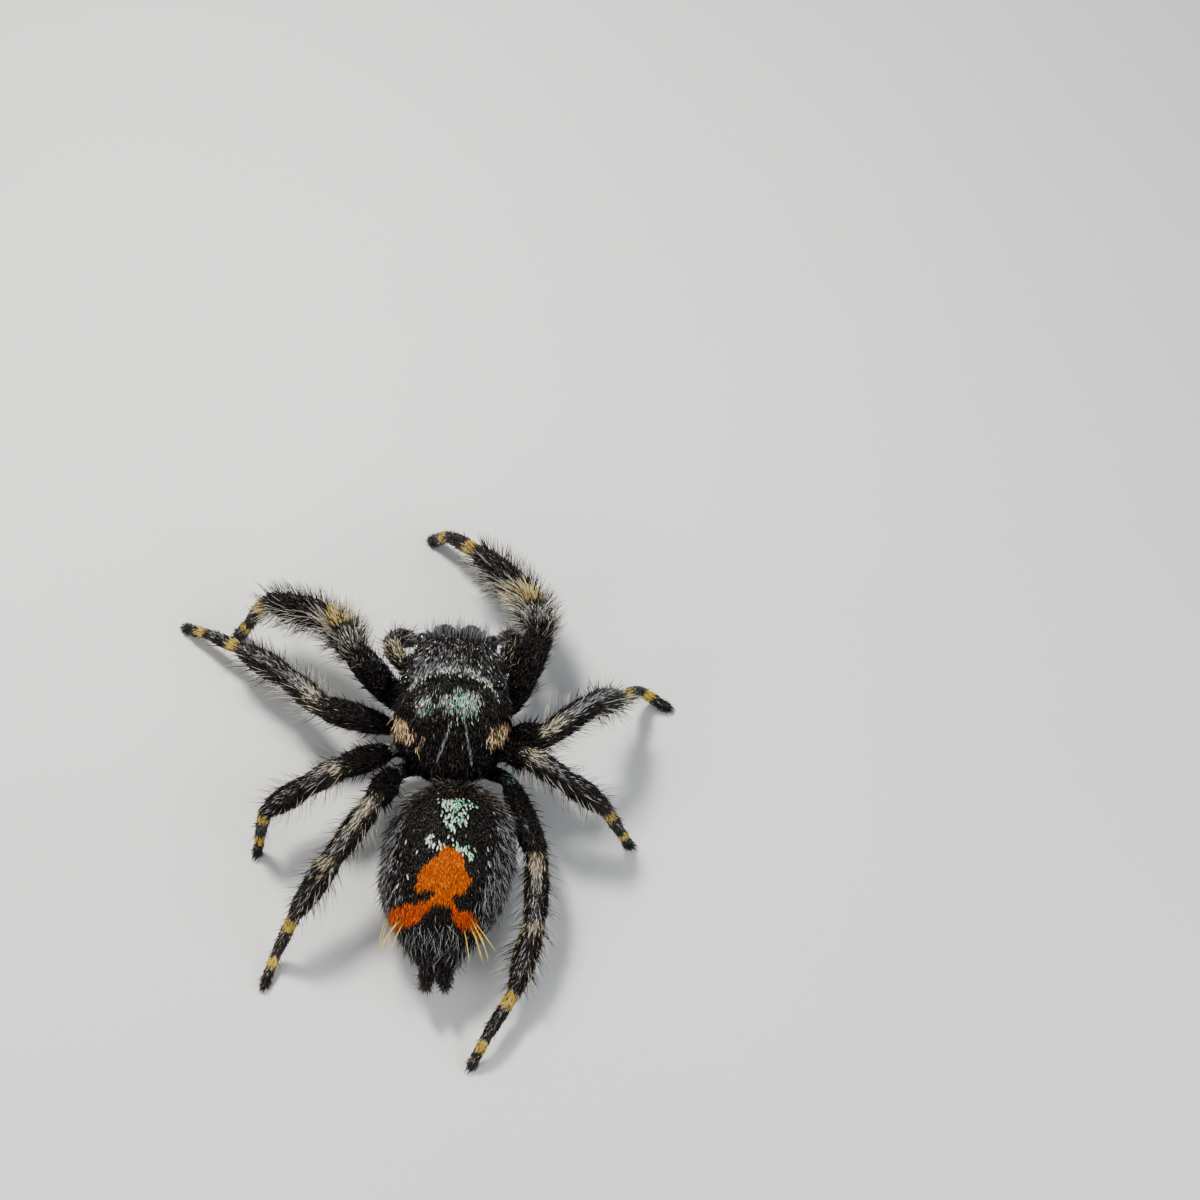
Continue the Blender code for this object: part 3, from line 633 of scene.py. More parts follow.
# %% Eye mounts
EYES = {
    "eye_main": (0.31, 2.07, 2.37, 0.27, 3, 0),
    "eye_front_side": (0.80, 1.90, 2.47, 0.16, 32, 8),
    "eye_small": (1.04, 1.34, 2.66, 0.075, 80, 35),
    "eye_rear": (1.07, 0.74, 2.64, 0.15, 112, 28),
}
EYE_PLACES = [
    (f"{name}_{side_name}", place(side * left, forward, up), radius, direction(side, heading, rise))
    for name, (left, forward, up, radius, heading, rise) in EYES.items()
    for side_name, side in SIDES.items()
]
MOUNT_BEHIND = 0.55
MOUNT_WIDER = 1.16


def ball(name, centre, radius, segments=20, rings=12):
    sphere = bpy.ops.mesh.primitive_uv_sphere_add
    made = primitive(sphere, name, segments=segments, ring_count=rings, radius=radius)
    made.location = centre
    bpy.ops.object.transform_apply()
    return made


for name, centre, radius, look in EYE_PLACES:
    skin_parts.append(ball(name + "_mount", centre - look * radius * MOUNT_BEHIND, radius * MOUNT_WIDER))
print("mounts", len(EYE_PLACES))

# %% Lobes of the mouth
MAXILLA = ((0.25, 1.18, 1.00), (0.15, 0.17, 0.24))
LABIUM = ((0.0, 1.06, 0.95), (0.12, 0.10, 0.16))


def lobe(name, side, centre, half_size):
    made = ball(name, (0, 0, 0), 1.0)
    with edit_mode(made):
        resize(half_size)
        select_points(lambda vertex: vertex.co.z < -0.3 * half_size[2])
        resize((0.78, 0.85, 1.0))
        select_all()
        move(place(side * centre[0], *centre[1:]))
    return made


skin_parts += [lobe("maxilla", side, *MAXILLA) for side in SIDES.values()]
skin_parts.append(lobe("labium", 1, *LABIUM))
print("skin parts", len(skin_parts))

# %% [markdown]
# One skin. Joined tubes and eggs would show a seam where they cross. A voxel remesh melts them into one
# closed surface of even faces, which also spread the coat evenly, and a light smoothing rounds the steps.
# Each hair will borrow its root's place on the skin's map, so that its colours can be baked.

# %% Melt the parts into one skin and unwrap it
VOXEL = 0.048
skin = join(skin_parts, "skin")
apply_modifier(skin, "REMESH", mode="VOXEL", voxel_size=VOXEL)
apply_modifier(skin, "SMOOTH", factor=0.5, iterations=5)
bpy.ops.object.shade_smooth()
with edit_mode(skin):
    bpy.ops.uv.smart_project(angle_limit=math.radians(60), island_margin=0.001)
skin.data.uv_layers[0].name = "OFBake"
print("skin", len(skin.data.polygons), "faces, unwrapped as", skin.data.uv_layers[0].name)

# %% [markdown]
# Knowing one's place. The coat needs to know, at every point of the skin, which part it is, how far along a
# limb it lies and which way the hairs run. Each point belongs to the form it lies nearest to. Hairs run
# towards the foot on a limb, and rearwards on the body.

# %% Fields on the skin
PART_NAMES = [*FORMS, *LIMBS]
PARTS = {name: index for index, name in enumerate(PART_NAMES)}
NEAR_LIMB = 0.5
FACE_FROM = -0.55
UP = np.array((0.0, 0.0, 1.0))


def unit(rows):
    return rows / np.maximum(np.linalg.norm(rows, axis=1, keepdims=True), 1e-9)


def across(rows, normals):
    """What is left of directions once what points along the normals is taken out."""
    return rows - normals * np.sum(rows * normals, axis=1, keepdims=True)


def along_limb(limb, points):
    """How far points lie outside a limb, the limb's mark there, its direction and the way out."""
    starts, steps = limb.points[:-1], np.diff(limb.points, axis=0)
    away = points[:, None] - starts[None]
    share = np.clip(np.sum(away * steps, axis=2) / np.sum(steps**2, axis=1), 0, 1)
    out = away - steps * share[..., None]
    far = np.linalg.norm(out, axis=2)
    best = np.argmin(far, axis=1)
    rows = np.arange(len(points))
    share, out, far = share[rows, best], out[rows, best], far[rows, best]
    marks = limb.marks[best] + share * np.diff(limb.marks)[best]
    radii = limb.radii[best] + share * np.diff(limb.radii)[best]
    return far - radii, marks, unit(steps[best]), unit(out)


def body_lie(points, normals, head):
    """The way that hairs run on the body, before it is laid against the skin."""
    lie = np.ones_like(points)
    lie[:, 0] = np.where(head, 0.30, 0.14) * points[:, 0]
    lie[:, 2] = np.where(head, -0.5, -0.35) * (1 - np.clip(normals[:, 2], 0, 1))
    face = head & (normals[:, 1] < FACE_FROM)
    lie[face] = np.stack([0.3 * points[face, 0], 0 * points[face, 0], -np.ones(face.sum())], axis=1)
    return lie


def fields(points, normals):
    """Part, mark along a limb, lie and how far to the top of its limb each point is."""
    nearest = np.full(len(points), 9.0)
    part, mark, top = np.zeros(len(points), int), np.zeros(len(points)), normals[:, 2].copy()
    for name, form in FORMS.items():
        outside = form.outside(points * (1, -1, 1))
        part[outside < nearest] = PARTS[name]
        nearest = np.minimum(nearest, outside)
    lie = body_lie(points, normals, part == PARTS["carapace"])
    for name, limb in LIMBS.items():
        low, high = limb.points.min(axis=0) - NEAR_LIMB, limb.points.max(axis=0) + NEAR_LIMB
        near = np.flatnonzero(np.all((points > low) & (points < high), axis=1))
        outside, marks, along, out = along_limb(limb, points[near])
        closer = outside < nearest[near]
        chosen, along = near[closer], along[closer]
        nearest[chosen], part[chosen], mark[chosen] = outside[closer], PARTS[name], marks[closer]
        lie[chosen] = along
        upwards = unit(across(np.tile(UP, (len(chosen), 1)), along))
        top[chosen] = np.sum(out[closer] * upwards, axis=1)
    return part, mark, unit(across(lie, normals)), top


def read(rows, name, width, kind=np.float32):
    """Numbers of a mesh as an array."""
    values = np.zeros(len(rows) * width, kind)
    rows.foreach_get(name, values)
    return values.reshape(-1, width).astype(int if kind == np.int32 else float)


class Surface:
    """A mesh's triangles as arrays, in millimetres on the body."""

    def __init__(self, mesh):
        mesh.calc_loop_triangles()
        self.points = read(mesh.vertices, "co", 3)
        self.normals = read(mesh.vertices, "normal", 3)
        self.corners = read(mesh.loop_triangles, "vertices", 3, np.int32)
        self.uv = read(mesh.uv_layers[0].data, "uv", 2)[read(mesh.loop_triangles, "loops", 3, np.int32)]
        a, b, c = [self.points[self.corners[:, i]] for i in range(3)]
        self.areas = np.linalg.norm(np.cross(b - a, c - a), axis=1) / 2
        self.middles = self.points[self.corners].mean(axis=1)
        self.facing = self.normals[self.corners].mean(axis=1)
        self.part, self.mark, self.lie, self.top = fields(self.points, self.normals)


surface = Surface(skin.data)
print("skin of", round(float(surface.areas.sum()), 1), "square mm on", len(PARTS), "parts")

# %% [markdown]
# The markings. Skin and coat carry the same marks, so that no bare spot shows a wrong colour between two
# hairs. Each mark is a formula on the body's own measures, such as an orange arrowhead on the abdomen given
# by how wide it is at each place, and a golden band by how far along the foot it lies. A formula answers
# with a chance from 0 to 1: the skin takes it as a tint, and each hair draws lots, which frays the edges.

# %% Places of the marks
ORANGE_EDGES = (
    (3.43, -0.04, -0.46), (3.54, 0.02, -0.50), (3.68, 0.12, -0.52), (3.82, 0.26, -0.54), (3.96, 0.42, -0.62),
    (4.10, 0.50, -0.72), (4.24, 0.44, -0.67), (4.33, 0.42, -0.60), (4.39, 0.14, -0.58), (4.46, 0.10, -0.40),
    (4.53, 0.10, -0.33), (4.62, 0.05, -0.30), (4.66, -0.10, -0.20),
)
ORANGE_BANDS = (
    ((0.42, -4.26, 0.07), (0.38, -4.38, 0.07)),
    (
        (0.0, -4.55, 0.09), (0.28, -4.71, 0.09), (0.46, -4.80, 0.16),
        (0.66, -4.83, 0.20), (0.86, -4.78, 0.15), (1.03, -4.72, 0.07),
    ),
    ((-0.24, -4.54, 0.09), (-0.34, -4.66, 0.05)),
    ((-0.37, -4.71, 0.02), (-0.47, -4.84, 0.14), (-0.62, -4.88, 0.18), (-0.80, -4.88, 0.13)),
)
PEARL_PATCH = ((-0.27, -2.60, 0.26, 0.38), (-0.30, -2.30, 0.36, 0.12))
PEARL_ROW = (
    ((0.26, -3.20, 0.09), (0.02, -3.40, 0.10)),
    ((-0.36, -3.36, 0.08), (-0.60, -3.46, 0.10), (-0.88, -3.58, 0.07), (-1.06, -3.62, 0.04)),
)
PEARL_SPOTS = (
    (0.77, -3.22), (0.51, -3.50), (0.88, -4.18), (0.72, -4.02), (-1.02, -3.30), (-0.18, -3.16),
    (-0.26, -3.22), (0.14, -2.18), (0.04, -2.20), (0.30, -3.24), (0.20, -3.30), (-0.48, -3.40),
)
HEAD_PATCH = ((-0.24, 0.12, 0.42, 0.30), (0.62, 0.06, 0.18, 0.14))
TAN_PATCH = ((1.26, -0.07, 0.06), (1.13, -0.33, 0.13), (0.92, -0.50, 0.10))
TAN_SPOT = ((0.60, -0.60, 0.05), (0.72, -0.74, 0.06))
PALE_LINES = (((-0.02, -0.26, 0.03), (0.28, -0.98, 0.03)), ((-0.32, -0.20, 0.03), (-0.52, -0.98, 0.03)))
FOOT_BANDS = (3.18, 4.22)
KNEE_PATCH = 1.72
STRIPE_MARKS = (1.0, 1.6, 2.1, 3.0, 4.0)
STRIPE_STRENGTH = {
    2: (0.9, 0.8, 0.6, 0.4, 0.3), 3: (0.9, 0.6, 0.25, 0.15, 0.1), 4: (0.8, 0.75, 0.35, 0.25, 0.2),
}
PALP_PALENESS = {"left": 0.6, "right": 0.12}
EDGE_WOBBLE = 0.035
FLANK_FROM, FLANK_WIDTH = 0.60, 0.30
# The painted highlight line across the head: its place forward, how far its ends curve back, and its reach to
# each side.
HIGHLIGHT_FORWARD, HIGHLIGHT_CURVE, HIGHLIGHT_REACH = 0.93, 0.30, 0.88


def soft(inside, width=0.05):
    """1 well inside a mark's edge, 0 well outside."""
    return np.clip(inside / width + 0.5, 0, 1)


def about(values, middle, half, edge):
    """1 within half a band's width of its middle, 0 well outside."""
    return soft(half - np.abs(values - middle), edge)


def hump(values, middle, width):
    return np.exp(-(((values - middle) / width) ** 2))


def in_strip(left, forward, strip):
    """How far inside a strip places lie. A strip is places (left, forward, half width) in a row."""
    best = np.full(len(left), -9.0)
    for (left_0, forward_0, width_0), (left_1, forward_1, width_1) in zip(strip, strip[1:]):
        step_l, step_f = left_1 - left_0, forward_1 - forward_0
        share = ((left - left_0) * step_l + (forward - forward_0) * step_f) / (step_l**2 + step_f**2)
        share = np.clip(share, 0, 1)
        far = np.hypot(left - left_0 - share * step_l, forward - forward_0 - share * step_f)
        best = np.maximum(best, width_0 + share * (width_1 - width_0) - far)
    return best


def in_oval(left, forward, oval):
    """How far inside an oval places lie. An oval is (left, forward, half width, half length)."""
    far = np.hypot((left - oval[0]) / oval[2], (forward - oval[1]) / oval[3])
    return (1 - far) * min(oval[2:])


def in_any(inside, left, forward, shapes):
    return np.max([inside(left, forward, shape) for shape in shapes], axis=0)


def highlight_line_at(left):
    """How far forward the painted highlight line across the head lies. Its ends curve back."""
    return HIGHLIGHT_FORWARD - HIGHLIGHT_CURVE * (np.abs(left) / HIGHLIGHT_REACH) ** 3


print("marks on the back", len(ORANGE_BANDS) + len(PEARL_PATCH) + len(PEARL_ROW) + len(PEARL_SPOTS))

# %% Chances of the marks
WARM, PALE = ("orange", "gold", "tan"), ("pearl", "cream", "silver")
MARKS = (*WARM, *PALE)


def abdomen_marks(left, forward, up):
    wobble = EDGE_WOBBLE * (np.sin(17 * left + 9 * forward) + np.sin(23 * forward - 11 * left)) / 2
    places, left_edge, right_edge = zip(*ORANGE_EDGES)
    between = np.minimum(
        np.interp(-forward, places, left_edge) - left, left - np.interp(-forward, places, right_edge)
    )
    between = np.where((-forward > places[0]) & (-forward < places[-1]), between, -1)
    orange = np.maximum(between, in_any(in_strip, left, forward, ORANGE_BANDS))
    middle, half_width, waist = FORMS["abdomen"].at(forward)[:3]
    flank = np.clip(np.abs(left - middle) / half_width - FLANK_FROM, 0, FLANK_WIDTH) / FLANK_WIDTH
    flank = np.where(up > waist - 0.3, flank, 0.3)
    return {
        "orange": soft(orange + wobble) * (up > waist - 0.1),
        "silver": 0.006 + 0.38 * flank + 0.06 * (forward < -5.0),
        "tan": 0.03 * soft(forward + 2.02, 0.15),
    }


def carapace_marks(left, forward):
    aside, highlight_line = np.abs(left), highlight_line_at(left)
    tan = soft(in_strip(aside, forward, TAN_PATCH), 0.10) * 0.58
    tan += soft(in_strip(left, forward, TAN_SPOT), 0.08) * 0.3
    patch = soft(in_any(in_oval, left, forward, HEAD_PATCH), 0.2)
    # crown_sheen is a painted sheen of silver hairs on the head's top ahead of the bright line. It fades
    # forward and is brighter towards the left, where the light falls.
    crown_sheen = 1.5 * about(left, 0, 1.0, 0.25) * soft(forward - highlight_line + 0.08, 0.1)
    # ridge: painted highlight, silver hairs along the bright line.
    ridge = about(left, 0, 0.97, 0.15) * hump(forward, highlight_line, 0.10)
    sheen_falloff = np.interp(forward, (1.0, 1.9), (1.0, 0.30)) * np.interp(left, (-0.8, 0.5), (0.45, 1.0))
    silver = crown_sheen * 0.28 * sheen_falloff + 0.32 * ridge + 0.012
    silver += 0.20 * (about(left, 0, 0.75, 0.3) * hump(forward, 0.25, 0.25)) + 0.30 * patch
    # Painted shade: the silver is taken away in the dip just behind the bright line.
    silver *= 1 - about(left, -0.09, 0.36, 0.1) * hump(forward, 0.60, 0.07)
    for pale_line in PALE_LINES:
        silver += 0.9 * soft(in_strip(left, forward, pale_line), 0.02)
    return {"tan": tan, "cream": tan * 0.5, "pearl": 0.45 * patch, "silver": silver}


def foot_bands(mark, *halves):
    return sum(about(mark, middle, half, 0.08) for middle, half in zip(FOOT_BANDS, halves))


def leg_marks(number, mark, top):
    upper = soft(top - 0.35, 0.4)
    gold, tan = 0.85 * foot_bands(mark, 0.13, 0.15), 0 * mark
    if number == 1:
        patch = upper * about(mark, 1.20, 0.16, 0.1)
        gold += 0.30 * upper * about(mark, KNEE_PATCH, 0.20, 0.1)
        cream = 0.85 * upper * about(mark, KNEE_PATCH, 0.22, 0.1) + 0.25 * patch
        silver = 0.015 + 0.6 * patch + 0.06 * upper * soft(mark - 1.9, 0.1)
    else:
        # The stripe along the top of legs 2 to 4 is partly pale hairs and partly painted highlight, where the
        # light falls on the legs' tops.
        stripe = soft(top - 0.88, 0.10) * soft(mark - 1.02, 0.04)
        knee = upper * about(mark, 1.12, 0.13, 0.12)
        silver = 0.015 + stripe * np.interp(mark, STRIPE_MARKS, STRIPE_STRENGTH[number])
        cream = 0.32 * knee + 0.22 * stripe * soft(1.5 - mark, 0.3)
    if number == 4:
        cream += 0.45 * upper * about(mark, 2.06, 0.09, 0.06)
        tan = 0.05 * upper * soft(mark - 0.98, 0.05)
    cream += 0.35 * foot_bands(mark, 0.17, 0.19)
    root = about(mark, 0.02, 0.11, 0.06) * soft(top - 0.6, 0.3)
    return {"gold": gold, "tan": tan, "cream": cream, "silver": silver, "pearl": 0.8 * root * (number > 2)}


def palp_marks(side_name, mark, top):
    tuft = about(mark, 2.0, 0.5, 0.3) * np.clip(top + 0.1, 0, 1)
    return {"cream": PALP_PALENESS[side_name] * tuft, "silver": 0.04}


def mark_chances(points, part, mark, top):
    """The chance of each mark at places on the skin."""
    made = {name: np.zeros(len(points)) for name in MARKS}
    left, forward, up = (points * (1, -1, 1)).T
    for index, name in enumerate(PART_NAMES):
        here = part == index
        chances = {}
        if name == "abdomen":
            chances = abdomen_marks(left[here], forward[here], up[here])
        elif name == "carapace":
            chances = carapace_marks(left[here], forward[here])
        elif name.startswith("leg"):
            chances = leg_marks(int(name[4]), mark[here], top[here])
        elif name.startswith("pedipalp"):
            chances = palp_marks(name.split("_")[1], mark[here], top[here])
        for key, value in chances.items():
            made[key][here] = np.clip(value, 0, 1)
    return made


def write_vectors(mesh, name, rows):
    """Three numbers for each vertex, kept under a name that a material can read."""
    attribute = mesh.attributes.new(name, "FLOAT_VECTOR", "POINT")
    attribute.data.foreach_set("vector", np.ascontiguousarray(rows, dtype=np.float32).ravel())


skin_marks = mark_chances(surface.points, surface.part, surface.mark, surface.top)
for attribute, names in (("marks_warm", WARM), ("marks_pale", PALE)):
    write_vectors(skin.data, attribute, np.stack([skin_marks[name] for name in names], axis=1))
print("marked points", {name: int((value > 0.5).sum()) for name, value in skin_marks.items()})

# %% [markdown]
# The colours. A spider's black is a warm near-black under a gloss, and its pale hairs are silver, cream or
# gold. Scales shine in green, white and rose, as thin layers do, so their colour drifts from place to place
# and they are part metal. Skin and hairs share this one recipe; only gloss and depth of colour differ.

# %% One recipe for the colours
COLOURS = {
    "silver": (0.67, 0.67, 0.67), "cream": (0.95, 0.84, 0.56), "tan": (1.0, 0.68, 0.39),
    "gold": (0.98, 0.67, 0.08), "orange": (0.85, 0.20, 0.010),
}
DEEP_ORANGE = (0.88, 0.155, 0.022)
DEEPER_FROM, DEEPER_TO = -4.55, -4.85
PEARLS = (
    (0.34, (0.10, 0.60, 0.30)), (0.43, (0.42, 0.86, 0.58)), (0.49, (0.97, 0.98, 0.90)),
    (0.55, (0.62, 0.92, 0.82)), (0.62, (0.97, 0.78, 0.62)),
)
SKIN_DEPTHS = {"silver": 0.05, "cream": 0.35, "tan": 0.5, "gold": 0.6, "orange": 0.9, "pearl": 0.25}
COAT_DEPTHS = dict.fromkeys(MARKS, 0.97)


def marked(finish, colour, depths):
    """A colour with the marks laid over it, each as strongly as its attribute and its depth say."""
    shares = dict(zip(MARKS, finish.three("marks_warm") + finish.three("marks_pale")))
    start, end = [in_metres(place(0, forward, 0)).y for forward in (DEEPER_FROM, DEEPER_TO)]
    rearward = finish.node("ShaderNodeSeparateXYZ", {}, {0: finish.where()}, "Y")
    values = {"Value": rearward, "From Min": start, "From Max": end}
    deeper = finish.node("ShaderNodeMapRange", {"interpolation_type": "SMOOTHSTEP"}, values)
    flame = finish.mix(COLOURS["orange"], DEEP_ORANGE, deeper)
    for name, tint in {**COLOURS, "orange": flame}.items():
        colour = finish.mix(colour, tint, shares[name] * depths[name])
    shine = finish.node("ShaderNodeValToRGB", {"stops": PEARLS}, {"Fac": finish.noise(9000, 1.0)})
    return finish.mix(colour, shine, shares["pearl"] * depths["pearl"]), shares


def skin_finish():
    """Black cuticle under the coat, finely pitted."""
    finish = Finish("cuticle_under_coat")
    fine = finish.noise(15000)
    black = finish.mix((0.006, 0.005, 0.0045), (0.020, 0.016, 0.013), finish.noise(2500))
    colour, shares = marked(finish, black, SKIN_DEPTHS)
    finish.set(Base_Color=colour, Roughness=0.30 + fine * 0.25)
    finish.bump(fine, 0.00001)
    return finish.material


def coat_finish():
    """Hairs, darker at the root: partly painted shade deep in the coat, partly their own paler tips. Each has
    its own tone and gloss.
    """
    finish = Finish("coat")
    tone, along, gloss = finish.three("strand")
    black = finish.mix((0.0032, 0.0028, 0.0026), (0.056, 0.040, 0.033), tone)
    colour, shares = marked(finish, black, COAT_DEPTHS)
    orange = shares["orange"]
    # Painted shade: each hair darkens towards its root, where the coat shades it.
    colour = finish.mix(colour, (0.008, 0.006, 0.005), (1.0 - along) ** 1.3 * (0.8 - orange * 0.4))
    finish.set(Base_Color=colour, Roughness=0.38 - gloss * 0.20 + orange * 0.25)
    finish.set(Metallic=shares["pearl"] * 0.25)
    return finish.material


SKIN_FINISH = skin_finish()
COAT_FINISH = coat_finish()
BARE = ("eye", "chelicera")
FLESH = [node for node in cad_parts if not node.startswith(BARE)]
dress(skin, SKIN_FINISH, FLESH)
print("the skin stands for", len(FLESH), "solids")

# %% [markdown]
# Hairs as solid blades. A particle system would be quicker to comb, but its hairs are not real mesh. So
# each hair is a three-sided blade, rooted in the skin, bending towards the lie and drawn out to a point. A
# shape is where its rings stand along it, and how wide each is. All the hairs of a piece are laid down at
# once as arrays, because an operator for each of a hundred thousand would take hours.

# %% Roots of hairs
lots = np.random.default_rng(11)
CLEAR_OF_EYE = 1.06
EYE_ROOM = 0.16
LEAST_NEAR_EYE, MORE_ON_TOP = 0.50, 0.28
FAR_FROM_ORANGE = (0.0, 0.14, 0.28)


def roots_on(on, rows, shares):
    """Roots on triangles of a surface, each placed by its shares of the three corners."""
    corners = on.corners[rows]
    first = corners[np.arange(len(rows)), np.argmax(shares, axis=1)]
    points, normals, lie = [
        np.einsum("ij,ijk->ik", shares, values[corners]) for values in (on.points, on.normals, on.lie)
    ]
    return {
        "points": points, "normals": unit(normals), "lie": lie,
        "uv": np.einsum("ij,ijk->ik", shares, on.uv[rows]),
        "part": on.part[first], "mark": on.mark[first], "top": on.top[first],
    }


def keep(roots, test):
    return {name: values[test] for name, values in roots.items()}


def from_eyes(roots):
    """How far roots lie from each eye's middle, with that eye's radius."""
    for name, centre, radius, look in EYE_PLACES:
        yield np.linalg.norm(roots["points"] - np.array(centre), axis=1), radius


def scatter(density, on=surface):
    """Roots outside the eyes, so many to a square millimetre on each triangle, spread evenly by chance."""
    expected = on.areas * density
    count = np.floor(expected + lots.random(len(expected))).astype(int)
    rows = np.repeat(np.arange(len(expected)), count)
    roots = roots_on(on, rows, lots.dirichlet((1.0, 1.0, 1.0), len(rows)))
    clear = np.ones(len(rows), bool)
    for far, radius in from_eyes(roots):
        clear &= far > radius * CLEAR_OF_EYE
    return keep(roots, clear)


def near_eyes(roots):
    """1 away from the eyes, less close to them, so that hairs end at their rims."""
    room = np.ones(len(roots["points"]))
    least = LEAST_NEAR_EYE + MORE_ON_TOP * np.clip(roots["normals"][:, 2], 0, 1)
    for far, radius in from_eyes(roots):
        room = np.minimum(room, np.clip((far - radius) / EYE_ROOM, least, 1))
    return room


def chances_at(roots, ahead):
    """The chance of each mark a little ahead of roots."""
    return mark_chances(roots["points"] + ahead, roots["part"], roots["mark"], roots["top"])


def off_orange(roots):
    """Leaves out the roots whose long hairs would hang over the orange mark."""
    orange = [chances_at(roots, roots["lie"] * reach)["orange"] for reach in FAR_FROM_ORANGE]
    return keep(roots, np.max(orange, axis=0) < 0.3)


print("eyes to keep clear", len(EYE_PLACES))

# %% Hairs from arrays
ROOT_DEPTH = 0.015
LOWEST = 0.004
PATCH = 0.003
SHAPES = {
    2: ((0.0, 0.5, 1.0), (0.80, 0.95)),
    3: ((0.0, 0.34, 0.70, 1.0), (0.95, 0.95, 0.62)),
    4: ((0.0, 0.28, 0.60, 0.86, 1.0), (0.45, 0.95, 0.95, 0.58)),
}
FAINTEST = {"orange": 0.7, "gold": 0.6, "tan": 0.6, "pearl": 0.7, "cream": 0.6, "silver": 0.25}
MARKED_WHERE = 0.45
UNRULY = 0.10
USUAL_TONE = 0.3


def blade_faces(rings):
    """The triangles of one hair: its foot, a tube of three sides and its tip."""
    faces = [(2, 1, 0)]
    for ring in range(0, 3 * rings, 3):
        for i in range(3):
            a, b = ring + i, ring + (i + 1) % 3
            faces += [(a, b, b + 3), (a, b + 3, a + 3)] if ring < 3 * (rings - 1) else [(a, b, ring + 3)]
    return np.array(faces)


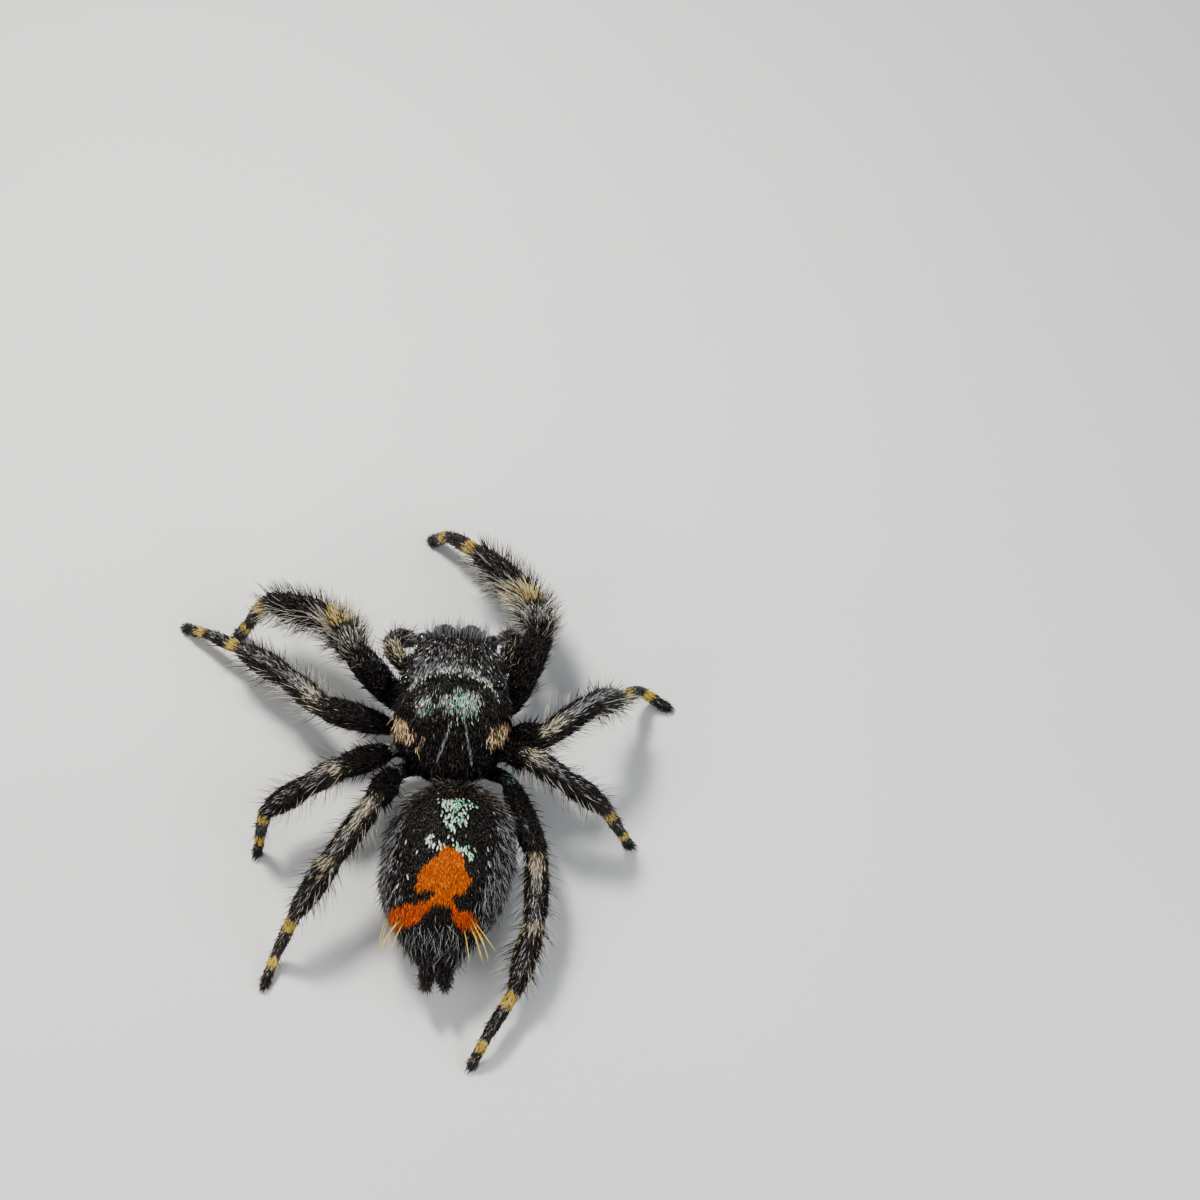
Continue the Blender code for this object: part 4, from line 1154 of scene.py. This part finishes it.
class Coat:
    """Hairs that are laid down together and become one mesh."""

    def __init__(self, name):
        self.name, self.count = name, 0
        self.rows = {key: [] for key in ("points", "corners", "uv", "marks_warm", "marks_pale", "strand")}

    def add(
        self, roots, length, width, lifts, marks={}, tone=USUAL_TONE, toward=None, yaw=0.3, vary=0.3,
        whole=False, rings=3, thick=0.5, raised=0.0,
    ):
        """Hairs from roots, in mm. The lifts are the angles at root and tip above the lie, in degrees."""
        normal = roots["normals"]
        roots = {**roots, "points": roots["points"] + normal * raised}
        count = len(normal)
        width = np.broadcast_to(width, count)[:, None]
        length = length * lots.uniform(1 - vary, 1 + vary, count)
        if not whole:
            length = length * near_eyes(roots)
        turned = lots.normal(0, yaw, count)[:, None]
        lie = roots["lie"] if toward is None else roots["lie"] * 0.3 + np.asarray(toward, float)
        lie = unit(across(lie, normal))
        lie = lie * np.cos(turned) + np.cross(normal, lie) * np.sin(turned)
        side = np.cross(normal, lie)
        shares, tapers = SHAPES[rings]
        lean = [np.radians(np.broadcast_to(lift, count)) for lift in lifts]
        lean_more = lots.normal(0, UNRULY, count)
        corners, spot = [], roots["points"] - normal * ROOT_DEPTH
        for share, following, taper in zip(shares, shares[1:], tapers):
            angle = lean[0] + (lean[1] - lean[0]) * ((share + following) / 2) + lean_more
            ahead = lie * np.cos(angle)[:, None] + normal * np.sin(angle)[:, None]
            ridge = np.cross(ahead, side)
            ridge *= np.sign(np.sum(ridge * normal, axis=1, keepdims=True) + 1e-9)
            half = side * (width * taper / 2)
            corners += [spot + half, spot + ridge * (width * taper * thick), spot - half]
            spot = spot + ahead * (length * (following - share))[:, None]
        points = np.stack([*corners, spot], axis=1)
        points[..., 2] = np.maximum(points[..., 2], LOWEST)
        drawn = self.draw_marks(roots, lie * (length * MARKED_WHERE)[:, None], marks)
        shade = np.clip(lots.random(count) ** 2 * tone / USUAL_TONE, 0, 1)
        along = np.append(np.repeat(shares[:-1], 3), 1.0)
        aside = np.append(np.tile((1.0, 0.5, 0.0), rings), 0.5)
        size = len(along)
        strand = np.repeat(shade, size), np.tile(along, count), np.repeat(lots.random(count), size)
        spread = np.stack([aside - 0.5, along - 0.5], axis=1) * PATCH
        self.rows["points"].append(points.reshape(-1, 3))
        self.rows["uv"].append((roots["uv"][:, None] + spread[None]).reshape(-1, 2))
        self.rows["marks_warm"].append(np.repeat(drawn[:, :3], size, axis=0))
        self.rows["marks_pale"].append(np.repeat(drawn[:, 3:], size, axis=0))
        self.rows["strand"].append(np.stack(strand, axis=1))
        firsts = self.count + np.arange(count)[:, None, None] * size
        self.rows["corners"].append((blade_faces(rings)[None] + firsts).reshape(-1, 3))
        self.count += count * size

    def draw_marks(self, roots, ahead, marks):
        """The marks of each hair: those given, or with None those drawn by lot where its middle lies."""
        count = len(ahead)
        if marks is not None:
            return np.tile([float(marks.get(name, 0.0)) for name in MARKS], (count, 1))
        chances = chances_at(roots, ahead)
        drawn = [
            (lots.random(count) < chances[name]) * lots.uniform(FAINTEST[name], 1.0, count)
            for name in MARKS
        ]
        return np.stack(drawn, axis=1)

    def flat(self, roots, length, width, lifts, yaw=0.22, tone=USUAL_TONE):
        """Short hairs that lie flat and take their marks from the skin."""
        self.add(roots, length, width, lifts, None, tone, None, yaw, 0.22, rings=2)

    def lay(self, batches):
        """Bristles in batches: where, how many to a square mm, then what add takes after the roots."""
        for where, hairs, *facts in batches:
            self.add(off_orange(scatter(np.where(where, hairs, 0))), *facts)

    def build(self):
        """One mesh of all the hairs, with their marks and their map."""
        rows = {key: np.concatenate(batches) for key, batches in self.rows.items()}
        corners = rows["corners"]
        places = (rows["points"] + np.array(SHIFT)) * MM
        mesh = bpy.data.meshes.new(self.name)
        mesh.vertices.add(self.count)
        mesh.vertices.foreach_set("co", places.astype(np.float32).ravel())
        mesh.loops.add(corners.size)
        mesh.loops.foreach_set("vertex_index", corners.astype(np.int32).ravel())
        mesh.polygons.add(len(corners))
        mesh.polygons.foreach_set("loop_start", np.arange(0, corners.size, 3, dtype=np.int32))
        mesh.polygons.foreach_set("use_smooth", np.ones(len(corners), bool))
        mesh.update(calc_edges=True)
        layer = mesh.uv_layers.new(name="OFBake")
        layer.data.foreach_set("uv", rows["uv"][corners.ravel()].astype(np.float32).ravel())
        for key in ("marks_warm", "marks_pale", "strand"):
            write_vectors(mesh, key, rows[key])
        mesh.materials.append(COAT_FINISH)
        thing = bpy.data.objects.new(self.name, mesh)
        bpy.context.scene.collection.objects.link(thing)
        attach(thing, "root")
        print(self.name, len(corners), "triangles")


print("hairs ready, with", [len(blade_faces(rings)) for rings in SHAPES], "faces")

# %% [markdown]
# The short coat. Flat hairs cover the body like thatch, smallest on the face and the feet. They run to the
# rear on the body and to the foot on the legs. The body's coat is dense; on the legs the black cuticle shines
# through, so there the hairs stand farther apart.

# %% Where the triangles of the skin lie
LEFT, FORWARD, HEIGHT = (surface.middles * (1, -1, 1)).T
SIDEWARD, AHEAD, UPWARD = (unit(surface.facing) * (1, -1, 1)).T
CORNER = surface.corners[:, 0]
PART, MARK, TOP = surface.part[CORNER], surface.mark[CORNER], surface.top[CORNER]
PALP_PARTS = [PARTS["pedipalp_" + side] for side in SIDES]


def on_parts(beginning):
    return np.isin(PART, [index for name, index in PARTS.items() if name.startswith(beginning)])


ON_HEAD, ON_ABDOMEN = on_parts("carapace"), on_parts("abdomen")
print("triangles on head", int(ON_HEAD.sum()), "on abdomen", int(ON_ABDOMEN.sum()))

# %% Short coat of the body
for end, here, hairs in (("front", FORWARD > 0.45, 2100), ("rear", FORWARD <= 0.45, 1150)):
    coat = Coat("coat_head_" + end)
    roots = scatter(np.where(ON_HEAD & here, np.where((UPWARD > 0.2) | (AHEAD > 0.5), hairs, 800), 0))
    forward = -roots["points"][:, 1]
    short = np.interp(forward, (-1.2, -0.2, 1.0, 2.1), (0.22, 0.24, 0.22, 0.15))
    coat.flat(roots, short, np.interp(forward, (0.3, 0.8), (0.027, 0.018)), (18, 4), yaw=0.16)
    coat.build()

for half_name, here, hairs in (("upper", UPWARD > 0, 1000), ("under", UPWARD <= 0, 560)):
    coat = Coat("coat_abdomen_" + half_name)
    roots = scatter(np.where(ON_ABDOMEN & here, hairs, 0))
    rise = 1 - np.clip(roots["normals"][:, 2], 0, 1)
    coat.flat(roots, 0.19 + 0.12 * rise, 0.028, (22 + 14 * rise, 6 + 10 * rise))
    coat.build()

# %% Short coat of the limbs and the underside
for name in LIMBS:
    if name.startswith("leg"):
        coat = Coat("coat_" + name)
        roots = scatter(np.where(PART == PARTS[name], np.where(MARK > 3, 640, 520), 0))
        short = np.interp(roots["mark"], (-1, 0.5, 2.5, 3.2, 4.8), (0.14, 0.22, 0.24, 0.16, 0.12))
        coat.flat(roots, short, 0.024, (22, 7), tone=0.25)
        coat.build()

coat = Coat("coat_underside")
roots = scatter(np.where(on_parts("leg") | ON_HEAD | ON_ABDOMEN, 0, np.where(on_parts("pedipalp"), 700, 420)))
behind = np.where(roots["points"][:, 1] > 5, 0.16, 0.13)
coat.flat(roots, np.where(np.isin(roots["part"], PALP_PARTS), 0.20, behind), 0.026, (28, 10))
coat.build()

# %% [markdown]
# The pearly scales. Among the hairs lie flat, leaf-shaped scales that shine in green, white and rose: a
# patch on the abdomen's front with two rows behind it, and a few that stray. They are blades too, but wide,
# thin and nearly flat. On the head they are narrower, and among them lie tan hairs and the silver, pearl and
# cream blades that paint the glints of the head's bright line.

# %% Scales
def roots_at(places):
    """Roots on the upper side of the body nearest to places (left, forward)."""
    upper = np.flatnonzero((UPWARD > 0) & (ON_ABDOMEN | ON_HEAD))
    rows = [
        upper[np.argmin((LEFT[upper] - left) ** 2 + (FORWARD[upper] - forward) ** 2)]
        for left, forward in places
    ]
    return roots_on(surface, rows, np.full((len(rows), 3), 1 / 3))


OVER_COAT = 0.05
patch = 280 * soft(in_any(in_oval, LEFT, FORWARD, PEARL_PATCH), 0.12)
row = 190 * soft(in_any(in_strip, LEFT, FORWARD, PEARL_ROW), 0.06)
scales = Coat("scales_abdomen")
for roots in (scatter(np.where(ON_ABDOMEN & (UPWARD > 0.2), patch + row, 0)), roots_at(PEARL_SPOTS)):
    scales.add(roots, 0.14, 0.058, (14, 4), {"pearl": 1.0}, yaw=0.25, rings=4, thick=0.25, raised=OVER_COAT)
scales.build()

# %% Scales, tan hairs and painted glints of the head
patch = soft(in_any(in_oval, LEFT, FORWARD, HEAD_PATCH), 0.15)
# highlight_line, sprinkled_glints and ends place painted glints: silver and pearl blades along the bright
# line and a few ahead of it, and cream blades at its two ends.
highlight_line = about(LEFT, 0, 1.0, 0.15) * hump(FORWARD, highlight_line_at(LEFT), 0.07)
sprinkled_glints = about(LEFT, 0, 0.95, 0.15) * (FORWARD > 0.95)
ends = hump(np.abs(LEFT), 0.86, 0.10) * hump(FORWARD, 0.66, 0.08)
tan = np.maximum(in_strip(np.abs(LEFT), FORWARD, TAN_PATCH), in_strip(LEFT, FORWARD, TAN_SPOT))
scales = Coat("scales_head")
for steepest, hairs, raised, length, width, lifts, marks, yaw, thick in (
    (0.45, 130 * patch, 0.03, 0.14, 0.036, (20, 6), {"pearl": 0.9}, 0.35, 0.3),
    (0.45, 290 * highlight_line + 16 * sprinkled_glints, 0.03, 0.12, 0.032, (26, 8), {"silver": 1.0, "pearl": 0.6}, 0.35, 0.4),
    (0.45, 420 * ends, 0.02, 0.12, 0.034, (26, 8), {"cream": 1.0}, 0.35, 0.4),
    (0.2, 150 * soft(tan, 0.08), 0.04, 0.17, 0.030, (26, 8), {"tan": 0.75, "cream": 1.0}, 0.3, 0.4),
):
    roots = scatter(np.where(ON_HEAD & (UPWARD > steepest), hairs, 0))
    scales.add(roots, length, width, lifts, marks, yaw=yaw, rings=4, thick=thick, raised=raised)
scales.build()

# %% [markdown]
# Bristles. Over the flat coat stand longer hairs: a crest over the brow, grey fringes on the abdomen's sides
# and rear, fringes along both sides of the shins, longest on the first legs, with cream tufts on their knees,
# and stout spines. A few yellow bristles curve out from the ends of the orange bands. A batch says where, how
# many to a square millimetre, length, width, lifts, marks, tone, towards what, yaw, the spread of lengths and
# whether hairs keep their length near the eyes.

# %% Bristles of the body
GREY, BLACK, BACK, REAR = {"silver": 0.55}, {}, (0, 0.5, 0), (0, 1.2, 0.1)
brow = ON_HEAD & (FORWARD > 1.70) & (UPWARD > 0.1) & (np.abs(LEFT) < 1.05)
hood = ON_HEAD & (FORWARD > 1.78) & (UPWARD > 0.1) & (np.abs(LEFT) < 0.75)
cheek = ON_HEAD & (UPWARD < 0.75) & (FORWARD < 1.9)
flank = ON_ABDOMEN & (UPWARD < 0.74) & (UPWARD > -0.7)
tail = ON_ABDOMEN & (FORWARD < -4.95) & (UPWARD > -0.6)
end = ON_ABDOMEN & (FORWARD < -5.30) & (UPWARD > -0.75)
brush = on_parts("spinneret") & (FORWARD < -5.45)
rim = ON_ABDOMEN & (FORWARD > -2.15) & (UPWARD > 0)
chin = ON_HEAD & (AHEAD > 0.5) & (HEIGHT < 2.15)
crest = Coat("bristles_body")
crest.lay((
    (brow, 260, 0.46, 0.012, (70, 56), {"silver": 0.45}, 0.9, (0, -1, 0), 0.35, 0.35, True),
    (hood, 900, 0.24, 0.020, (30, 18), BLACK, 0.3, (0, -3, 0), 0.3, 0.3, True),
    (cheek, 26, 0.34, 0.020, (46, 22), None, 0.6, None, 0.4),
    (ON_HEAD & (UPWARD >= 0.75), 10, 0.26, 0.016, (40, 22), BLACK, 0.6, None, 0.4),
    (flank, 80, 0.40, 0.017, (46, 18), GREY, 1.0, BACK),
    (flank, 60, 0.42, 0.021, (48, 20), BLACK, 0.3, BACK),
    (tail, 24, 0.48, 0.018, (48, 24), GREY, 1.0, REAR, 0.35),
    (tail, 70, 0.44, 0.024, (46, 22), BLACK, 0.3, REAR, 0.35),
    (end, 190, 0.50, 0.020, (36, 4), BLACK, 0.35, (0, 3, 0), 0.35),
    (brush, 420, 0.27, 0.020, (26, 4), BLACK, 0.4, (0, 2, 0), 0.35, 0.35),
    (brush, 260, 0.27, 0.020, (26, 4), BLACK, 0.4, (-1.2, 2, 0), 0.35, 0.35),
    (brush, 260, 0.27, 0.020, (26, 4), BLACK, 0.4, (1.2, 2, 0), 0.35, 0.35),
    (ON_ABDOMEN & (UPWARD >= 0.78), 14, 0.26, 0.018, (42, 24), BLACK, 0.4, None, 0.4),
    (rim, 260, 0.20, 0.020, (52, 26), {"tan": 0.12}, 1.4, None, 0.4),
    (chin, 240, 0.30, 0.016, (40, 18), GREY, 1.0, (0, 0, -1)),
))
print("bristles of the body", crest.count, "points")

# %% Yellow bristles at the ends of the orange bands
YELLOW_BRISTLES = (
    (1.11, -4.66, 1.0, 0.70, 0.66), (1.08, -4.72, 1.0, 1.0, 0.68), (1.04, -4.78, 0.75, 1.0, 0.66),
    (0.98, -4.83, 0.50, 1.0, 0.62), (0.78, -4.86, 0.70, 1.0, 0.70), (0.72, -4.92, 0.50, 1.0, 0.60),
    (0.86, -4.85, 0.80, 1.0, 0.66), (-0.72, -4.80, -0.60, 1.0, 0.80), (-0.80, -4.84, -0.90, 1.0, 0.66),
    (-0.86, -4.92, -0.50, 1.0, 0.66), (-0.78, -4.98, -0.35, 1.0, 0.60), (-0.60, -5.02, -0.40, 1.0, 0.66),
    (-0.70, -4.92, -0.45, 1.0, 0.76), (1.36, -3.84, 1.0, 0.45, 0.40),
)
YELLOW = {"gold": 0.85, "cream": 1.0}
LONGER = 1.4
lefts, forwards, sideways, rearwards, lengths = np.array(YELLOW_BRISTLES).T
outward = np.stack([sideways, rearwards, 0 * lengths], axis=1) * 3
roots = roots_at(zip(lefts, forwards))
crest.add(roots, lengths * LONGER, 0.034, (54, 22), YELLOW, 0.3, outward, 0.05, 0.05, raised=OVER_COAT)
crest.build()

# %% Bristles and spines of the legs
PALE_TIPS = {"silver": 0.75, "cream": 0.30}
LONG_TUFT, SHORT_TUFT = {"cream": 0.95, "gold": 0.12}, {"cream": 0.7, "gold": 0.55}
for side_name, side in SIDES.items():
    legs = np.isin(PART, [PARTS[f"leg_{number}_{side_name}"] for number in SEGMENTS])
    own = legs & (MARK > 0)
    both_sides = own & (MARK > 1.0) & (MARK < 2.95) & (np.abs(TOP) < 0.8)
    spines = own & (TOP > -0.1) & ((MARK > 2.1) & (MARK < 3.0) | (MARK > 3.4) & (MARK < 3.9))
    fringe = on_parts("leg_1_" + side_name) & (MARK > 0.9) & (MARK < 3.0)
    knee = fringe & (MARK > 1.45) & (MARK < 1.95)
    inner = (-side * SIDEWARD > -0.1) & (TOP > -0.1)
    palp = on_parts("pedipalp_" + side_name) & (MARK > 1)
    coat = Coat("bristles_legs_" + side_name)
    coat.lay((
        (own & (MARK < 3), 22, 0.30, 0.022, (50, 24), BLACK, 0.6),
        (own & (MARK >= 3), 26, 0.20, 0.020, (46, 24), BLACK, 0.8),
        (both_sides, 46, 0.58, 0.016, (64, 34), PALE_TIPS, 0.8),
        (both_sides, 36, 0.48, 0.018, (62, 36), BLACK, 0.3),
        (spines, 2.2, 0.42, 0.034, (52, 40), BLACK, 0.1, None, 0.3, 0.12),
        (fringe, 80, 0.50, 0.020, (68, 40), BLACK, 0.5, None, 0.35, 0.25),
        (fringe & (TOP < 0.9), 60, 0.60, 0.016, (68, 44), PALE_TIPS, 1.0, None, 0.35, 0.2),
        (knee & inner, 170, 0.58, 0.018, (66, 44), LONG_TUFT, 0.5, (-side * 0.6, 0, 0.1), 0.3, 0.25),
        (knee & (TOP > 0.4), 180, 0.26, 0.024, (46, 22), SHORT_TUFT, 0.5, None, 0.3, 0.25),
        (legs & (MARK > 0.2) & (MARK < 1.0), 26, 0.36, 0.022, (56, 30), BLACK, 0.5),
        (legs & (MARK > 4.78), 900, 0.13, 0.020, (62, 40), BLACK, 0.6, None, 0.4, 0.25),
        (palp, 60, 0.36, 0.020, (56, 30), None, 0.6),
        (palp, 10, 0.48, 0.018, (60, 36), PALE_TIPS, 0.8, None, 0.3, 0.2),
    ))
    coat.build()

# %% [markdown]
# The eyes. A jumping spider has eight: two large ones that look ahead, a smaller pair beside them, a tiny
# pair and, far back on the head, a third large pair. Each is a lens that bulges out of a raised rim. A
# sphere with its poles along the eye's line of sight gives even rings: the cap is drawn out into the lens,
# the back is drawn in, and a torus stretched along the line of sight makes the rim.

# %% The eyes
LENS_BULGE = 0.06
RIM_RADIUS = 1.03
RIM_THICKNESS = 0.10
RIM_BEHIND = 0.12
CAP_FROM, BACK_FROM = 0.30, -0.45
EYE_FINISH = mottled(
    "eye_lens", (0.002, 0.002, 0.003), (0.010, 0.012, 0.014), 9000, 1.0,
    Roughness=0.06, IOR=1.45, Coat_Weight=0.35, Coat_Roughness=0.02,
)
RIM_FINISH = mottled("eye_rim", (0.006, 0.005, 0.005), (0.03, 0.025, 0.02), 12000, Roughness=0.35)


def turned_to(piece, look, centre):
    """Smooths a piece made around the origin with +Z as its front, turns it and brings it to its place."""
    select_only(piece)
    bpy.ops.object.shade_smooth()
    piece.rotation_euler = look.to_track_quat("Z", "Y").to_euler()
    piece.location = centre
    bpy.ops.object.transform_apply()


rims = []
for name, centre, radius, look in EYE_PLACES:
    eye = ball(name + "_lens", (0, 0, 0), radius, 48, 28)
    with edit_mode(eye):
        select_points(lambda vertex: vertex.co.z > CAP_FROM * radius)
        move((0, 0, LENS_BULGE * radius))
        select_points(lambda vertex: vertex.co.z < BACK_FROM * radius)
        resize((0.85, 0.85, 0.8))
    turned_to(eye, look, centre)
    dress(eye, EYE_FINISH, (name,))
    sizes = {"major_radius": RIM_RADIUS * radius, "minor_radius": RIM_THICKNESS * radius}
    rim = primitive(bpy.ops.mesh.primitive_torus_add, "rim", **sizes, major_segments=48, minor_segments=10)
    with edit_mode(rim):
        resize((0.98, 0.98, 1.5))
        select_points(lambda vertex: vertex.co.z < 0)
        resize((1.08, 1.08, 1.6))
    turned_to(rim, look, centre - look * radius * RIM_BEHIND)
    rims.append(rim)
rims = join(rims, "eye_rims")
dress(rims, RIM_FINISH)
print("eyes", len(EYE_PLACES), "rims", len(rims.data.polygons), "faces")

# %% [markdown]
# The jaws. Two stout, swollen jaws hang below the face, green and shining like metal, and each holds a curved
# fang at its end. A cube is cut finely and rounded most of the way to a ball, which keeps the broad front and
# the flat inner sides where the two jaws meet. It is then narrowed in steps towards the fang and leaned back
# at the top, where it joins the face. Sparse bristles grow on its front.

# %% The jaws' finish
def jaw_finish():
    """Dark green that shines as metal and turns blue and gold from place to place, with cross wrinkles."""
    finish = Finish("jaw_green")
    drift = finish.noise(1500, 1.0)
    fine = finish.noise(22000)
    waves = {"Vector": finish.where(), "Scale": 2200.0, "Distortion": 6.0, "Detail": 3.0, "Detail Scale": 1.5}
    wrinkles = finish.node("ShaderNodeTexWave", {"bands_direction": "Z"}, waves, 1)
    stops = (
        (0.30, (0.004, 0.050, 0.060)), (0.45, (0.006, 0.100, 0.060)),
        (0.58, (0.030, 0.105, 0.025)), (0.72, (0.010, 0.045, 0.085)),
    )
    green = finish.node("ShaderNodeValToRGB", {"stops": stops}, {"Fac": drift})
    finish.set(Base_Color=green, Metallic=0.6, Roughness=0.26 + fine * 0.22)
    finish.bump(wrinkles * 0.6 + fine * 0.7, 0.000016)
    return finish.material


JAW_FINISH = jaw_finish()
FANG_FINISH = mottled("fang", (0.012, 0.005, 0.003), (0.10, 0.025, 0.010), 9000, Roughness=0.18)
print("jaw and fang finished")

# %% The jaws and fangs
JAW_PLACE, JAW_HALF_SIZE = (0.31, 1.80, 1.30), (0.265, 0.27, 0.56)
JAW_ROUNDNESS = 0.62
JAW_NARROWING = ((-0.15, 0.94), (-0.45, 0.90), (-0.70, 0.86))
JAW_TOP_FROM, JAW_END_FROM = 1.55, 0.98
JAW_HAIRS, MORE_AT_TOP, MORE_AT_END = 28, 60, 90
FANG = ((0.36, 1.80, 0.84), (0.38, 1.86, 0.66), (0.22, 1.84, 0.52))
FANG_RADII = ((0.0, 0.11), (1.0, 0.085), (1.7, 0.045), (2.0, 0.012))
jaw_bristles = Coat("bristles_jaws")
fangs = []
for side_name, side in SIDES.items():
    jaw = primitive(bpy.ops.mesh.primitive_cube_add, "jaw_" + side_name, size=2)
    with edit_mode(jaw):
        bpy.ops.mesh.subdivide(number_cuts=19)
        bpy.ops.transform.tosphere(value=JAW_ROUNDNESS)
    reach = jaw.dimensions.x / 2
    with edit_mode(jaw):
        resize([size / reach for size in JAW_HALF_SIZE])
        for below, factor in JAW_NARROWING:
            select_points(lambda vertex: vertex.co.z < below * JAW_HALF_SIZE[2])
            resize((factor, factor, 1.0), (0, 0.03, 0))
        select_points(lambda vertex: vertex.co.z > 0.25 * JAW_HALF_SIZE[2])
        move((0, 0.04, 0))
        select_all()
        bpy.ops.mesh.vertices_smooth(factor=0.5, repeat=6)
        move(place(side * JAW_PLACE[0], *JAW_PLACE[1:]))
    bpy.ops.object.shade_smooth()
    on_jaw = Surface(jaw.data)
    height = on_jaw.middles[:, 2]
    hairs = JAW_HAIRS + MORE_AT_TOP * (height > JAW_TOP_FROM) + MORE_AT_END * (height < JAW_END_FROM)
    hairs = np.where(on_jaw.facing[:, 1] < 0.2, hairs, 0)
    jaw_bristles.add(scatter(hairs, on_jaw), 0.20, 0.014, (40, 16), {"silver": 0.25}, 0.8, (0, 0, -1))
    dress(jaw, JAW_FINISH, ("chelicera_" + side_name,))
    bends = Limb([place(side * x, y, z) for x, y, z in FANG], (0.12,), FANG_RADII, spacing=0.04)
    fangs.append(limb_by_hand("fang", bends))
    bpy.ops.object.shade_smooth()
jaw_bristles.build()
fangs = join(fangs, "fangs")
dress(fangs, FANG_FINISH)
print("jaws 2, fangs", len(fangs.data.polygons), "faces")

# %% [markdown]
# The claws. Each foot ends in two tiny hooks that stand out of the tuft of its pad. One hook is drawn as a
# bent, tapered tube, and copied to both sides of all eight feet.

# %% The claws
CLAW = ((0.0, -0.02, 0.0), (0.0, 0.09, 0.03), (0.0, 0.16, -0.05))
CLAW_RADII = ((0.0, 0.022), (1.0, 0.016), (2.0, 0.004))
CLAW_SPREAD, CLAW_AHEAD, CLAW_HEIGHT = 0.045, 0.06, 0.085
one_claw = limb_by_hand("claw", Limb([place(*point) for point in CLAW], (0.03,), CLAW_RADII, spacing=0.02))
bpy.ops.object.shade_smooth()
claws = []
for leg in LEGS.values():
    tip = Vector(leg.points[-1])
    ahead = tip - Vector(leg.points[-3])
    turn = Matrix.Rotation(math.atan2(ahead.x, -ahead.y), 4, "Z")
    flat = Vector((ahead.x, ahead.y, 0)).normalized()
    sideways = Vector((flat.y, -flat.x, 0))
    for sign in (-1, 1):
        at = tip + flat * CLAW_AHEAD + sideways * sign * CLAW_SPREAD
        at.z = CLAW_HEIGHT
        select_only(one_claw)
        bpy.ops.object.duplicate(linked=False)
        bpy.context.object.matrix_world = Matrix.Translation(at) @ turn
        bpy.ops.object.transform_apply()
        claws.append(bpy.context.object)
bpy.data.objects.remove(one_claw)
print("claws", len(claws))
claws = join(claws, "claws")
dress(claws, RIM_FINISH)

# %% [markdown]
# The sizes: the box of the solids and the box of the finished spider, printed side by side.

# %% Print the sizes and finish
NEW_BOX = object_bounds()
BOXES = [[list(corner) for corner in box] for box in (CAD_BOX, NEW_BOX)]
for name, box in zip(("solids", "model"), BOXES):
    print(name, "box in mm", [[round(x / MM, 2) for x in corner] for corner in box])
